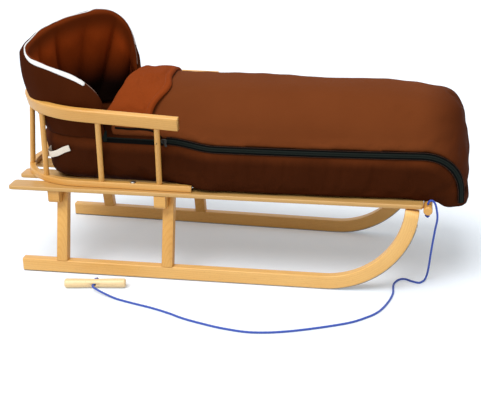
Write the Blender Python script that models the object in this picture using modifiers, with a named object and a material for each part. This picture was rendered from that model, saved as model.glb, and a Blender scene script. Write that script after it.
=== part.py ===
"""Child's wooden sled with a bent-wood backrest and a quilted foot muff.

Metres, +Z up, +X toward the front bar, +Y to the sled's left side.
Everything stands on the plane z = 0 and hangs from one empty, so that the
origin lies under the middle of the object.
"""
import math

import bmesh
import bpy
from mathutils import Matrix, Vector

# whole sled
ORIGIN_X = 0.0100          # from the datum of the x sizes below to the origin
GAP = 0.0003               # clearance between pieces that touch
TOE = 0.0204               # runners and slats close in by this per metre, each side

# runners, bent up in front
RUNNER_TAIL_X = -0.470
RUNNER_TRACK = 0.370       # over the outer faces, at the tail
RUNNER_WIDTH = 0.021
RUNNER_HEIGHT = 0.0293
RUNNER_BEND_X = 0.2175     # where the bend starts
RUNNER_BEND_RADIUS = 0.200 # to the ground side
RUNNER_EASE = 0.020        # the straight ends this far behind the bend
RUNNER_EDGE = 0.0025
SOLE_THICKNESS = 0.002
SOLE_WIDTH = 0.016
SOLE_BEND_ANGLE = 78.0     # degrees of the bend that the steel follows

# seat slats
SEAT_UNDERSIDE = 0.1955
SLAT_THICKNESS = 0.009
SLAT_WIDTH = 0.044
SLAT_OUTER_Y = 0.178       # outer edge of the outer slat at its tail
SLAT_TAIL_X = -0.4915
SLAT_TAIL_STEP = 0.0035    # each slat nearer the middle reaches this much further back
SLAT_FRONT_X = 0.4225
SLAT_CORNER = 0.007
SLAT_EDGE = 0.0016
SLAT_COUNT = 5

# posts and cross-beams
POST_XS = (-0.3755, -0.1310)
POST_LENGTH_X = 0.025
POST_WIDTH_Y = 0.0225
POST_LEAN = 0.24           # outward per metre down
POST_EDGE = 0.0018
BEAM_LENGTH = 0.342
BEAM_THICKNESS = 0.026
BEAM_HEIGHT = 0.0295
BEAM_LAP = 0.013           # how deep the beam is let into the post
BEAM_CORNER = 0.009

# front bar
BAR_DIAMETER = 0.019
BAR_LENGTH = 0.332
BAR_EDGE = 0.003

# backrest
LOWER_RAIL_WIDTH = 0.015
LOWER_RAIL_HEIGHT = 0.014
LOWER_RAIL_RADIUS = 0.1525 # to the middle of the rail
LOWER_RAIL_CENTRE_X = -0.3375
UPPER_RAIL_THICKNESS = 0.016
UPPER_RAIL_HEIGHT = 0.0295
UPPER_RAIL_RADIUS = 0.1885
UPPER_RAIL_CENTRE_X = -0.290
UPPER_RAIL_ARM = 0.217
ARM_END_X = UPPER_RAIL_CENTRE_X + UPPER_RAIL_ARM
LOWER_RAIL_FRONT_X = ARM_END_X - 0.002
UPPER_RAIL_MID_Z = 0.3845  # middle of the rail at its rear
UPPER_RAIL_SLOPE = 0.030   # down per metre toward the front
UPPER_RAIL_FLARE = 4.0     # degrees
UPPER_RAIL_TILT = 13.0     # degrees that the rail leans outward
RAIL_EDGE = 0.004
SPINDLE_DIAMETER = 0.0125
SPINDLE_SETBACK = 0.074    # foot of the front spindle, behind the end of the arms
SPINDLE_SPACING = 0.132    # between the two spindles of a side
SPINDLE_RAKE = 0.012           # forward, from foot to head, along the sides
SPINDLE_ANGLES = (59.0, 20.0)  # degrees from the rear middle, round the bend
SPINDLE_SPREAD = 0.84          # upper to lower angle of the bend's spindles
BOLT_SETBACK = 0.134       # behind the end of the arms
BOLT_DIAMETER = 0.013
BOLT_HEIGHT = 0.0035

# foot muff
MUFF_RAIL_CLEARANCE = 0.0385   # from its tail to the upper rail
MUFF_TAIL_X = UPPER_RAIL_CENTRE_X - UPPER_RAIL_RADIUS + UPPER_RAIL_THICKNESS / 2 + MUFF_RAIL_CLEARANCE
MUFF_FOOT_X = 0.5175
MUFF_HALF_WIDTH = 0.157
MUFF_WIDEST_X = -0.05
MUFF_TAPER = 0.095         # half width lost per square metre from the widest place
MUFF_CROWN_Z = 0.421
CROWN_DROP = 0.012         # lower toward the foot
CROWN_DROP_XS = (0.300, 0.500)     # where it starts and ends
SEAM_Z = 0.306
SEAM_REAR_RISE = 0.014
SEAM_REAR_XS = (-0.020, -0.120)
SEAM_FOOT_DROP = 0.092
SEAM_FALL = (0.1120, 0.0200)       # behind the foot end, where the seam turns down and is down
SEAM_FALL_POWER = 2.4      # roundness of that bend
SEAM_LIP = 0.004
SEAM_FOOT_PARTING = 0.0030 # the halves stand apart by this under the zip's bend
MUFF_SAG = 0.0150          # how far the foot end hangs below the slats' upper side
MUFF_SAG_LENGTH = 0.028
TAIL_ROUND = 0.125         # length of the rounded tail
FOOT_ROUND = 0.090
PLAN_POWERS = (2.6, 5.0)   # squareness in plan, at the tail and at the foot
CROWN_POWER = 2.5          # squareness across the upper half
SIDE_POWERS = (5.0, 16.0)  # and across the lower half, beside the backrest and ahead of it
SIDE_POWER_CHANGE = (-0.012, 0.060)    # ahead of the backrest's arms
CROWN_END_POWER = 2.9      # squareness of the ends, seen from the side
BASE_END_POWERS = (12.0, 20.0)     # below the seam, at the tail and at the foot
MUFF_WALL = 0.010
COVER_EDGE_X = -0.252
FLAP_DEPTH = 0.115
FLAP_SKIRT_Z = 0.378
FLAP_WALL = 0.012
FLAP_LIFT = 0.0004         # over the cover
HOOD_FRONT_X = -0.262
HOOD_WALL = 0.014
HOOD_STRAIGHT = 0.28       # share of the hood's grid that lies along each straight side
HOOD_SIDE_Z = 0.388
HOOD_TOP_Z = 0.548
HOOD_LEAN_ZS = (0.345, 0.475)      # heights between which it leans out
HOOD_REAR_FLARE = 0.040
HOOD_SIDE_FLARE = 0.010
ZIP_WIDTH = 0.013
ZIP_THICKNESS = 0.002
ZIP_STAND_OFF = 0.0008     # between the muff and the zip's inner face
ZIP_HOOD_CLEARANCE = 0.002
ZIP_END_TURN = 86.0        # degrees of the seam's bend that it follows down

# pull cord
CORD_DIAMETER = 0.0045
CORD_Y = -0.146            # where it leaves the front bar
CORD_BORE = 0.0062
KNOT_DIAMETER = 0.0115
HANDLE_LENGTH = 0.135
HANDLE_DIAMETER = 0.0205
HANDLE_WAIST = 0.0185
HANDLE_CENTRE = (-0.2785, -0.2405)
HANDLE_TURN = 9.4          # degrees

SLAT_TOP = SEAT_UNDERSIDE + SLAT_THICKNESS
RUNNER_TOP = SOLE_THICKNESS + GAP + RUNNER_HEIGHT
BAR_RADIUS = BAR_DIAMETER / 2
BAR_X = SLAT_FRONT_X + GAP + BAR_RADIUS
BAR_Z = SLAT_TOP - BAR_RADIUS

for old in list(bpy.data.objects):
    bpy.data.objects.remove(old, do_unlink=True)

parts = bpy.data.collections.new("wooden_sled")
guides = bpy.data.collections.new("cutters")
bpy.context.scene.collection.children.link(parts)
bpy.context.scene.collection.children.link(guides)

sled = bpy.data.objects.new("sled_origin", None)
sled.location = (-ORIGIN_X, 0, 0)
parts.objects.link(sled)

COLOURS = {
    # name: base colour, roughness, metallic
    "beech": ((0.78, 0.52, 0.25), 0.45, 0.0),
    "steel": ((0.62, 0.62, 0.62), 0.35, 1.0),
    "brown_shell": ((0.055, 0.012, 0.001), 0.75, 0.0),
    "rust_shell": ((0.19, 0.048, 0.012), 0.75, 0.0),
    "rust_fleece": ((0.32, 0.07, 0.015), 0.95, 0.0),
    "zip_black": ((0.010, 0.010, 0.010), 0.45, 0.0),
    "cord_blue": ((0.02, 0.05, 0.42), 0.70, 0.0),
}


def material(node, kind):
    base, rough, metal = COLOURS[kind]
    mat = bpy.data.materials.new(node + "_" + kind)
    mat.use_nodes = True
    shader = mat.node_tree.nodes["Principled BSDF"]
    shader.inputs["Base Color"].default_value = (*base, 1.0)
    shader.inputs["Roughness"].default_value = rough
    shader.inputs["Metallic"].default_value = metal
    mat.diffuse_color = (*base, 1.0)
    return mat


def add(node, data, kind, smooth=40.0):
    """One named object of the sled, with its own material."""
    obj = bpy.data.objects.new(node, data)
    parts.objects.link(obj)
    obj.parent = sled
    data.materials.append(material(node, kind))
    if isinstance(data, bpy.types.Mesh):
        data.shade_smooth()
        data.set_sharp_from_angle(angle=math.radians(smooth))
    return obj


def guide(obj):
    guides.objects.link(obj)
    obj.parent = sled
    obj.hide_render = True
    obj.display_type = "WIRE"
    return obj


def mesh_from(bm, name):
    bmesh.ops.recalc_face_normals(bm, faces=bm.faces)
    data = bpy.data.meshes.new(name)
    bm.to_mesh(data)
    bm.free()
    return data


def rounded_rectangle(width, height, radius, steps=2):
    """Outline points, clockwise, about the middle."""
    points = []
    for quarter in range(4):
        turn = math.radians(90 * quarter)
        side = (1, 1) if quarter == 0 else (-1, 1) if quarter == 1 else (-1, -1) if quarter == 2 else (1, -1)
        cx = side[0] * (width / 2 - radius)
        cy = side[1] * (height / 2 - radius)
        for step in range(steps + 1):
            a = turn + math.radians(90) * step / steps
            points.append((cx + radius * math.cos(a), cy + radius * math.sin(a)))
    return points[::-1]


def section(name, width, height, radius, tilt=0.0, steps=2):
    """Bevel profile of a bent strip: width across, height up, leaning by tilt degrees."""
    data = bpy.data.curves.new(name, "CURVE")
    data.dimensions = "2D"
    turn = Matrix.Rotation(math.radians(tilt), 2)
    points = [turn @ Vector(p) for p in rounded_rectangle(width, height, radius, steps)]
    spline = data.splines.new("POLY")
    spline.points.add(len(points) - 1)
    for point, (x, y) in zip(spline.points, points):
        point.co = (x, y, 0, 1)
    spline.use_cyclic_u = True
    return guide(bpy.data.objects.new(name, data))


def strip(node, path, profile, kind):
    """A strip of constant section along a path of 3D points."""
    data = bpy.data.curves.new(node, "CURVE")
    data.dimensions = "3D"
    data.twist_mode = "Z_UP"
    data.bevel_mode = "OBJECT"
    data.bevel_object = profile
    data.use_fill_caps = True
    spline = data.splines.new("POLY")
    spline.points.add(len(path) - 1)
    for point, co in zip(spline.points, path):
        point.co = (*co, 1)
    spline.use_smooth = True
    return add(node, data, kind)


def plate(node, outline, thickness, kind, edge=0.0):
    """A flat board from an outline, with its edges eased."""
    data = bpy.data.curves.new(node, "CURVE")
    data.dimensions = "2D"
    data.fill_mode = "BOTH"
    data.extrude = thickness / 2
    spline = data.splines.new("POLY")
    spline.points.add(len(outline) - 1)
    for point, (x, y) in zip(spline.points, outline):
        point.co = (x, y, 0, 1)
    spline.use_cyclic_u = True
    obj = add(node, data, kind)
    weld = obj.modifiers.new("weld", "WELD")
    weld.merge_threshold = 0.00001
    if edge:
        bevel = obj.modifiers.new("eased", "BEVEL")
        bevel.width = edge
        bevel.segments = 1
        bevel.limit_method = "ANGLE"
        bevel.angle_limit = math.radians(50)
    return obj


def box_mesh(name, size, centre=(0, 0, 0)):
    bm = bmesh.new()
    bmesh.ops.create_cube(bm, size=1.0)
    bmesh.ops.scale(bm, vec=size, verts=bm.verts)
    bmesh.ops.translate(bm, vec=centre, verts=bm.verts)
    return mesh_from(bm, name)


def cylinder_mesh(name, start, end, diameter, sides=16):
    start, end = Vector(start), Vector(end)
    along = end - start
    bm = bmesh.new()
    bmesh.ops.create_cone(bm, cap_ends=True, segments=sides, radius1=diameter / 2,
                          radius2=diameter / 2, depth=along.length)
    turn = Vector((0, 0, 1)).rotation_difference(along.normalized()).to_matrix().to_4x4()
    bmesh.ops.transform(bm, matrix=Matrix.Translation((start + end) / 2) @ turn, verts=bm.verts)
    return mesh_from(bm, name)


def cut(obj, cutter):
    boolean = obj.modifiers.new(cutter.name, "BOOLEAN")
    boolean.operation = "DIFFERENCE"
    boolean.solver = "EXACT"
    boolean.object = cutter


SIDES = (
    # suffix, sign of y
    ("right", -1),
    ("left", 1),
)


def runner_middle_y(x):
    """Distance of the runner's middle from the centre plane at x."""
    return RUNNER_TRACK / 2 - RUNNER_WIDTH / 2 - TOE * (x - RUNNER_TAIL_X)


# The runners are one bent strip each: straight on the ground, then a quarter
# circle up to the underside of the seat.
def runner_path(ground_z, end_angle, side):
    """Middle line of a strip whose middle runs ground_z above the ground."""
    path = []
    radius = RUNNER_BEND_RADIUS - ground_z
    for x in (RUNNER_TAIL_X, RUNNER_BEND_X - RUNNER_EASE):
        path.append((x, side * runner_middle_y(x), ground_z))
    steps = 20
    for step in range(steps + 1):
        a = math.radians(end_angle) * step / steps
        x = RUNNER_BEND_X + radius * math.sin(a)
        z = RUNNER_BEND_RADIUS - radius * math.cos(a)
        path.append((x, side * runner_middle_y(x), z))
    return path


runner_mid_z = SOLE_THICKNESS + GAP + RUNNER_HEIGHT / 2
tip_rise = RUNNER_BEND_RADIUS - SEAT_UNDERSIDE + GAP
runner_end_angle = math.degrees(math.acos(tip_rise / (RUNNER_BEND_RADIUS - runner_mid_z)))
runner_profile = section("runner_profile", RUNNER_WIDTH, RUNNER_HEIGHT, RUNNER_EDGE)
sole_profile = section("sole_profile", SOLE_WIDTH, SOLE_THICKNESS, 0.0006, steps=1)
for suffix, side in SIDES:
    runner = strip("runner_" + suffix, runner_path(runner_mid_z, runner_end_angle - 1.2, side),
                   runner_profile, "beech")
    strip("runner_sole_" + suffix, runner_path(SOLE_THICKNESS / 2, SOLE_BEND_ANGLE, side),
          sole_profile, "steel")

# Seat slats fan in toward the front with the runners.
slat_pitch = (SLAT_OUTER_Y - SLAT_WIDTH / 2) / ((SLAT_COUNT - 1) / 2)
for index in range(SLAT_COUNT):
    place = index - (SLAT_COUNT - 1) / 2
    share = place / ((SLAT_COUNT - 1) / 2)
    tail_x = SLAT_TAIL_X - SLAT_TAIL_STEP * min(1, (1 - abs(share)) * 2)
    length = SLAT_FRONT_X - tail_x
    outline = [(x + length / 2, y) for x, y in rounded_rectangle(length, SLAT_WIDTH, SLAT_CORNER)]
    slat = plate("seat_slat_%d" % (index + 1), outline, SLAT_THICKNESS, "beech", SLAT_EDGE)
    slat.location = (tail_x, place * slat_pitch, SEAT_UNDERSIDE + SLAT_THICKNESS / 2)
    slat.rotation_euler = (0, 0, -math.atan(TOE * share))

# Each trestle is a cross-beam let into two leaning posts.
TRESTLES = (
    # name, x of the posts' middle
    ("rear", POST_XS[0]),
    ("middle", POST_XS[1]),
)
beam_z = SEAT_UNDERSIDE - GAP - BEAM_HEIGHT / 2
for name, post_x in TRESTLES:
    beam_x = post_x - POST_LENGTH_X / 2 + BEAM_LAP - BEAM_THICKNESS / 2
    outline = [(BEAM_LENGTH / 2, BEAM_HEIGHT / 2), (-BEAM_LENGTH / 2, BEAM_HEIGHT / 2)]
    for sign in (-1, 1):
        for step in range(6):
            a = math.radians(18 * step if sign < 0 else 90 - 18 * step)
            outline.append((sign * (BEAM_LENGTH / 2 - BEAM_CORNER * (1 - math.cos(a))),
                            -BEAM_HEIGHT / 2 + BEAM_CORNER * (1 - math.sin(a))))
    beam = plate("cross_beam_" + name, outline, BEAM_THICKNESS, "beech", 0.0012)
    beam.location = (beam_x, 0, beam_z)
    beam.rotation_euler = (math.radians(90), 0, math.radians(90))
    lap = guide(bpy.data.objects.new("lap_" + name, box_mesh(
        "lap_" + name, (BEAM_THICKNESS + 2 * GAP, BEAM_LENGTH, BEAM_HEIGHT + 0.004),
        (beam_x, 0, beam_z + 0.002 - GAP))))
    for suffix, side in SIDES:
        foot_z = RUNNER_TOP + GAP
        head_z = SEAT_UNDERSIDE - GAP
        height = head_z - foot_z
        foot_y = side * runner_middle_y(post_x)
        bm = bmesh.new()
        bmesh.ops.create_cube(bm, size=1.0)
        bmesh.ops.scale(bm, vec=(POST_LENGTH_X, POST_WIDTH_Y, height), verts=bm.verts)
        for vert in bm.verts:
            rise = vert.co.z + height / 2
            vert.co.y += foot_y - side * POST_LEAN * rise
            vert.co.x += post_x
            vert.co.z = foot_z + rise
        upright = [e for e in bm.edges if abs(e.verts[0].co.z - e.verts[1].co.z) > height / 2]
        bmesh.ops.bevel(bm, geom=upright, offset=POST_EDGE, segments=2, affect="EDGES", profile=0.5)
        post = add("post_%s_%s" % (name, suffix), mesh_from(bm, "post"), "beech")
        cut(post, lap)

# A round bar closes the slats in front; the cord passes down through it.
bm = bmesh.new()
bmesh.ops.create_cone(bm, cap_ends=True, segments=24, radius1=BAR_RADIUS, radius2=BAR_RADIUS,
                      depth=BAR_LENGTH, matrix=Matrix.Rotation(math.radians(90), 4, "X"))
rims = [e for e in bm.edges if abs(e.verts[0].co.y - e.verts[1].co.y) < 1e-6]
bmesh.ops.bevel(bm, geom=rims, offset=BAR_EDGE, segments=3, affect="EDGES", profile=0.5)
bmesh.ops.translate(bm, vec=(BAR_X, 0, BAR_Z), verts=bm.verts)
bar = add("front_bar", mesh_from(bm, "front_bar"), "beech")
cut(bar, guide(bpy.data.objects.new("cord_bore", cylinder_mesh(
    "cord_bore", (BAR_X, CORD_Y, BAR_Z - BAR_DIAMETER), (BAR_X, CORD_Y, BAR_Z + BAR_DIAMETER), CORD_BORE))))


# The backrest is two rails bent round the rear, joined by round spindles.
def bend_path(centre_x, radius, flare, front, steps=28):
    """A half circle about (centre_x, 0) behind two arms that open by flare degrees.

    front is the length of each arm.
    """
    reach = 90 - flare
    opening = math.radians(flare)
    points = []
    for step in range(steps + 1):
        a = math.radians(-reach + 2 * reach * step / steps)
        points.append((centre_x - radius * math.cos(a), radius * math.sin(a)))
    for end in (0, -1):
        x, y = points[end]
        sign = -1 if y < 0 else 1
        for share in (0.34, 0.67, 1.0):
            tip = (x + share * front * math.cos(opening), y + sign * share * front * math.sin(opening))
            points.insert(0 if end == 0 else len(points), tip)
    return points


def upper_rail_z(x):
    return UPPER_RAIL_MID_Z - UPPER_RAIL_SLOPE * (x - (UPPER_RAIL_CENTRE_X - UPPER_RAIL_RADIUS))


lower_rail_z = SLAT_TOP + GAP + LOWER_RAIL_HEIGHT / 2
lower_line = bend_path(LOWER_RAIL_CENTRE_X, LOWER_RAIL_RADIUS, 0.0, LOWER_RAIL_FRONT_X - LOWER_RAIL_CENTRE_X)
strip("backrest_rail_lower", [(x, y, lower_rail_z) for x, y in lower_line],
      section("lower_rail_profile", LOWER_RAIL_WIDTH, LOWER_RAIL_HEIGHT, RAIL_EDGE / 2), "beech")
upper_line = bend_path(UPPER_RAIL_CENTRE_X, UPPER_RAIL_RADIUS, UPPER_RAIL_FLARE, UPPER_RAIL_ARM)
strip("backrest_rail_upper", [(x, y, upper_rail_z(x)) for x, y in upper_line],
      section("upper_rail_profile", UPPER_RAIL_THICKNESS, UPPER_RAIL_HEIGHT, RAIL_EDGE,
              UPPER_RAIL_TILT), "beech")

tilt = math.radians(UPPER_RAIL_TILT)
head_radius = UPPER_RAIL_RADIUS - UPPER_RAIL_HEIGHT / 2 * math.sin(tilt)
spindles = []
for suffix, side in SIDES:
    for number in (0, 1):
        x = ARM_END_X - SPINDLE_SETBACK - SPINDLE_SPACING * (1 - number)
        reach = (x + SPINDLE_RAKE - UPPER_RAIL_CENTRE_X) * math.tan(math.radians(UPPER_RAIL_FLARE))
        foot = (x, side * LOWER_RAIL_RADIUS)
        head = (x + SPINDLE_RAKE, side * (head_radius + max(0.0, reach)))
        spindles.append(("side_%d_%s" % (number + 1, suffix), foot, head, (0, side)))
    for number, angle in enumerate(SPINDLE_ANGLES):
        a = math.radians(angle)
        b = a * SPINDLE_SPREAD
        foot = (LOWER_RAIL_CENTRE_X - LOWER_RAIL_RADIUS * math.cos(a),
                side * LOWER_RAIL_RADIUS * math.sin(a))
        outward = (-math.cos(b), side * math.sin(b))
        head = (UPPER_RAIL_CENTRE_X + head_radius * outward[0], head_radius * outward[1])
        spindles.append(("bend_%d_%s" % (number + 1, suffix), foot, head, outward))
for name, foot, head, outward in spindles:
    foot_z = SLAT_TOP + GAP + LOWER_RAIL_HEIGHT + GAP
    head_z = upper_rail_z(head[0]) - UPPER_RAIL_HEIGHT / 2 * math.cos(tilt) - GAP
    low, high = Vector((*foot, foot_z)), Vector((*head, head_z))
    along = high - low
    bm = bmesh.new()
    bmesh.ops.create_cone(bm, cap_ends=True, segments=16, radius1=SPINDLE_DIAMETER / 2,
                          radius2=SPINDLE_DIAMETER / 2, depth=along.z)
    for vert in bm.verts:
        share = vert.co.z / along.z + 0.5
        beside = Vector((vert.co.x, vert.co.y, 0))
        vert.co = low + along * share + beside
        if share > 0.5:
            # the head is cut to the rail's leaning underside
            out = beside.x * outward[0] + beside.y * outward[1]
            vert.co.z -= out * math.tan(tilt) + beside.x * UPPER_RAIL_SLOPE
    add("spindle_" + name, mesh_from(bm, "spindle"), "beech")

for suffix, side in SIDES:
    bm = bmesh.new()
    bmesh.ops.create_uvsphere(bm, u_segments=16, v_segments=10, radius=BOLT_DIAMETER / 2)
    bmesh.ops.bisect_plane(bm, geom=bm.verts[:] + bm.edges[:] + bm.faces[:], plane_co=(0, 0, 0.0005),
                           plane_no=(0, 0, -1), clear_outer=True)
    bmesh.ops.contextual_create(bm, geom=[e for e in bm.edges if e.is_boundary])
    bmesh.ops.scale(bm, vec=(1, 1, BOLT_HEIGHT / (BOLT_DIAMETER / 2)), verts=bm.verts)
    floor = min(v.co.z for v in bm.verts)
    bmesh.ops.translate(bm, vec=(ARM_END_X - BOLT_SETBACK, side * LOWER_RAIL_RADIUS,
                                 SLAT_TOP + LOWER_RAIL_HEIGHT + 2 * GAP - floor), verts=bm.verts)
    add("backrest_bolt_" + suffix, mesh_from(bm, "bolt"), "steel")


# Foot muff: a pillow form split along the zip into a tray and a cover.
def ramp(t):
    t = min(1.0, max(0.0, t))
    return t * t * (3 - 2 * t)


def between(value, ends):
    """0 at the first end and below, 1 at the second end and beyond."""
    return ramp((value - ends[0]) / (ends[1] - ends[0]))


def half_width(x):
    return MUFF_HALF_WIDTH - MUFF_TAPER * (x - MUFF_WIDEST_X) ** 2


muff_middle_x = (MUFF_TAIL_X + MUFF_FOOT_X) / 2
muff_half_length = (MUFF_FOOT_X - MUFF_TAIL_X) / 2
fall_start_x = MUFF_FOOT_X - SEAM_FALL[0]
fall_end_x = MUFF_FOOT_X - SEAM_FALL[1]
sag_start_x = BAR_X + BAR_RADIUS + 0.003


def seam_z(x):
    """Height of the seam: level along the sides, then round a bend and down at the foot."""
    rear = SEAM_REAR_RISE * between(x, SEAM_REAR_XS)
    share = min(1.0, max(0.0, (x - fall_start_x) / (fall_end_x - fall_start_x)))
    fall = 1 - (1 - share ** SEAM_FALL_POWER) ** (1 / SEAM_FALL_POWER)
    return SEAM_Z + rear - SEAM_FOOT_DROP * fall


def bottom_z(x):
    return SLAT_TOP + 0.0005 - MUFF_SAG * between(x, (sag_start_x, sag_start_x + MUFF_SAG_LENGTH))


def crown_z(x):
    return MUFF_CROWN_Z - CROWN_DROP * between(x, CROWN_DROP_XS)


# The pillow is a box's grid drawn in to rounded sides and ends. These are the
# grid's lines: along from -1 to 1, and across and up from 0 to 1.
GRID_ALONG = (-1, -0.92, -0.84, -0.74, -0.60, -0.42, -0.27, -0.15, 0, 0.2, 0.4, 0.6, 0.76, 0.81,
              0.858, 0.896, 0.927, 0.948, 0.9635, 0.9713, 1)
GRID_ACROSS = (0, 0.25, 0.48, 0.68, 0.84, 0.94, 1)
GRID_UP = (0, 0.22, 0.43, 0.62, 0.78, 0.91, 1)


def pillow_point(px, py, pz, upper, inset, rim):
    """Where a grid point of the box comes to lie; rim is 1 on the seam, 0 above or below it."""
    foot = 1 if px > 0 else 0
    plan_power = PLAN_POWERS[foot]
    round_length = FOOT_ROUND if foot else TAIL_ROUND
    body = muff_half_length - round_length
    share = max(0.0, abs(px) * muff_half_length - body) / round_length
    if upper:
        # the section across is drawn in toward the ends
        across = (abs(py) ** CROWN_POWER + pz ** CROWN_POWER) ** (1 / CROWN_POWER)
        steep = pz ** 2 / max(py ** 2 + pz ** 2, 1e-9)
        power = plan_power + (CROWN_END_POWER - plan_power) * steep
        size = (share ** power + across ** power) ** (1 / power)
    else:
        # the plan is drawn in toward the bottom
        plan = (share ** plan_power + abs(py) ** plan_power) ** (1 / plan_power)
        ends = [ARM_END_X + ahead for ahead in SIDE_POWER_CHANGE]
        change = between(muff_middle_x + px * muff_half_length, ends)
        power = SIDE_POWERS[0] + (SIDE_POWERS[1] - SIDE_POWERS[0]) * change
        endwise = share ** 4 / max(share ** 4 + py ** 4, 1e-9)
        power += (BASE_END_POWERS[foot] - power) * endwise
        size = (plan ** power + pz ** power) ** (1 / power)
    qy, qz = py / size, pz / size
    along = min(abs(px) * muff_half_length, body) + round_length * share / size
    x = muff_middle_x + math.copysign(along, px)
    parting = GAP / 1.5 + SEAM_FOOT_PARTING / 2 * between(x, (fall_start_x - 0.02, fall_start_x + 0.02))
    sign = 1 if upper else -1
    start = seam_z(x) + sign * (parting + SEAM_LIP)
    reach = (crown_z(x) - start if upper else start - bottom_z(x)) - inset
    drawn_in = math.copysign(inset * share / size, px)
    return x - drawn_in, qy * (half_width(x) - inset), start + sign * (qz * reach - rim * SEAM_LIP)


def pillow_surface(bm, upper, inset=0.0):
    """Half of the pillow, drawn in by inset; returns the points of its rim in order."""
    xs, zs = GRID_ALONG, GRID_UP
    ys = tuple(-y for y in GRID_ACROSS[:0:-1]) + GRID_ACROSS
    nx, ny, nz = len(xs) - 1, len(ys) - 1, len(zs) - 1
    ring = ([(i, 0) for i in range(nx)] + [(nx, j) for j in range(ny)]
            + [(i, ny) for i in range(nx, 0, -1)] + [(0, j) for j in range(ny, 0, -1)])
    verts = {}
    for i, px in enumerate(xs):
        for j, py in enumerate(ys):
            for k, pz in enumerate(zs):
                if i in (0, nx) or j in (0, ny) or k == nz:
                    verts[i, j, k] = bm.verts.new(pillow_point(px, py, pz, upper, inset, 0))
    for i, j in ring:
        verts[i, j, -1] = bm.verts.new(pillow_point(xs[i], ys[j], 0, upper, inset, 1))
    quads = []
    for (i, j), (a, b) in zip(ring, ring[1:] + ring[:1]):
        for k in range(-1, nz):
            quads.append(((i, j, k), (a, b, k), (a, b, k + 1), (i, j, k + 1)))
    for i in range(nx):
        for j in range(ny):
            quads.append(((i, j, nz), (i + 1, j, nz), (i + 1, j + 1, nz), (i, j + 1, nz)))
    for quad in quads:
        bm.faces.new([verts[key] for key in (quad if upper else quad[::-1])])
    return [verts[i, j, -1] for i, j in ring]


def pillow_wall(upper):
    """Half of the pillow as a closed wall."""
    bm = bmesh.new()
    outer = pillow_surface(bm, upper)
    inner = pillow_surface(bm, upper, MUFF_WALL)
    for quad in zip(outer, outer[1:] + outer[:1], inner[1:] + inner[:1], inner):
        bm.faces.new(quad)
    return bm


def shell(node, data, thickness, kind, offset=-1.0):
    obj = add(node, data, kind, 60.0)
    solid = obj.modifiers.new("wall", "SOLIDIFY")
    solid.thickness = thickness
    solid.offset = offset
    solid.use_even_offset = False
    return obj


add("muff_tray", mesh_from(pillow_wall(False), "muff_tray"), "brown_shell", 60.0)

cover = pillow_wall(True)
bmesh.ops.bisect_plane(cover, geom=cover.verts[:] + cover.edges[:] + cover.faces[:],
                       plane_co=(COVER_EDGE_X, 0, 0), plane_no=(-1, 0, 0), clear_outer=True)
bmesh.ops.contextual_create(cover, geom=[e for e in cover.edges if e.is_boundary])
add("muff_cover", mesh_from(cover, "muff_cover"), "rust_shell", 60.0)

# the cover's rear end is turned back over it, lining outward
flap = bmesh.new()
pillow_surface(flap, True)
for point, normal in (((COVER_EDGE_X + 0.002, 0, 0), (-1, 0, 0)),
                      ((COVER_EDGE_X + FLAP_DEPTH, 0, 0), (1, 0, 0)),
                      ((0, 0, FLAP_SKIRT_Z), (0, 0, -1))):
    bmesh.ops.bisect_plane(flap, geom=flap.verts[:] + flap.edges[:] + flap.faces[:],
                           plane_co=point, plane_no=normal, clear_outer=True)
flap.normal_update()
lifted = [(v, v.co + v.normal * FLAP_LIFT) for v in flap.verts]
for vert, co in lifted:
    vert.co = co
shell("muff_flap", mesh_from(flap, "muff_flap"), FLAP_WALL, "rust_fleece", 1.0)

# the hood rises from the tray's rear rim, low at its sides and high behind
bm = bmesh.new()
ACROSS, UP = 28, 9
bmesh.ops.create_grid(bm, x_segments=ACROSS, y_segments=UP, size=1.0)
for vert in bm.verts:
    s, t = vert.co.x, (vert.co.y + 1) / 2
    # s runs round the tray's outline from the right front edge to the left
    straight = max(0.0, abs(s) - 1 + HOOD_STRAIGHT) / HOOD_STRAIGHT
    bend = math.radians(90) * (1 - min(1.0, abs(s) / (1 - HOOD_STRAIGHT)))
    qx = -(math.sin(bend) ** 2) ** (1 / PLAN_POWERS[0])
    qy = (math.cos(bend) ** 2) ** (1 / PLAN_POWERS[0])
    arc_start = MUFF_TAIL_X + TAIL_ROUND
    x = arc_start + (arc_start - MUFF_TAIL_X) * qx + straight * (HOOD_FRONT_X - arc_start)
    y = math.copysign(qy * half_width(x), s) if s else 0.0
    rear = math.sin(bend)
    top = HOOD_SIDE_Z + (HOOD_TOP_Z - HOOD_SIDE_Z) * (1 - straight) ** 0.7 * (0.62 + 0.38 * rear)
    low = seam_z(x) + GAP / 1.5
    z = low + (top - low) * t
    lean = between(z, HOOD_LEAN_ZS)
    x -= HOOD_REAR_FLARE * lean * rear ** 1.5
    y *= 1 + HOOD_SIDE_FLARE / MUFF_HALF_WIDTH * lean
    vert.co = (x, y, z)
shell("muff_hood", mesh_from(bm, "muff_hood"), HOOD_WALL, "brown_shell")

# zips along both sides and down at the foot
def band(node, path, outward, kind):
    """A flat band along a path that faces outward, as wide and thick as the zip."""
    bm = bmesh.new()
    rings = []
    for i, (point, out) in enumerate(zip(path, outward)):
        ahead = path[min(i + 1, len(path) - 1)] - path[max(i - 1, 0)]
        half_across = ahead.cross(out).normalized() * (ZIP_WIDTH / 2)
        half_deep = out * (ZIP_THICKNESS / 2)
        rings.append([bm.verts.new(point + half_across * a + half_deep * b)
                      for a, b in ((-1, -1), (1, -1), (1, 1), (-1, 1))])
    for ring, following in zip(rings, rings[1:]):
        for k in range(4):
            bm.faces.new((ring[k], ring[(k + 1) % 4], following[(k + 1) % 4], following[k]))
    bm.faces.new(rings[0])
    bm.faces.new(rings[-1])
    return add(node, mesh_from(bm, node), kind)


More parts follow.
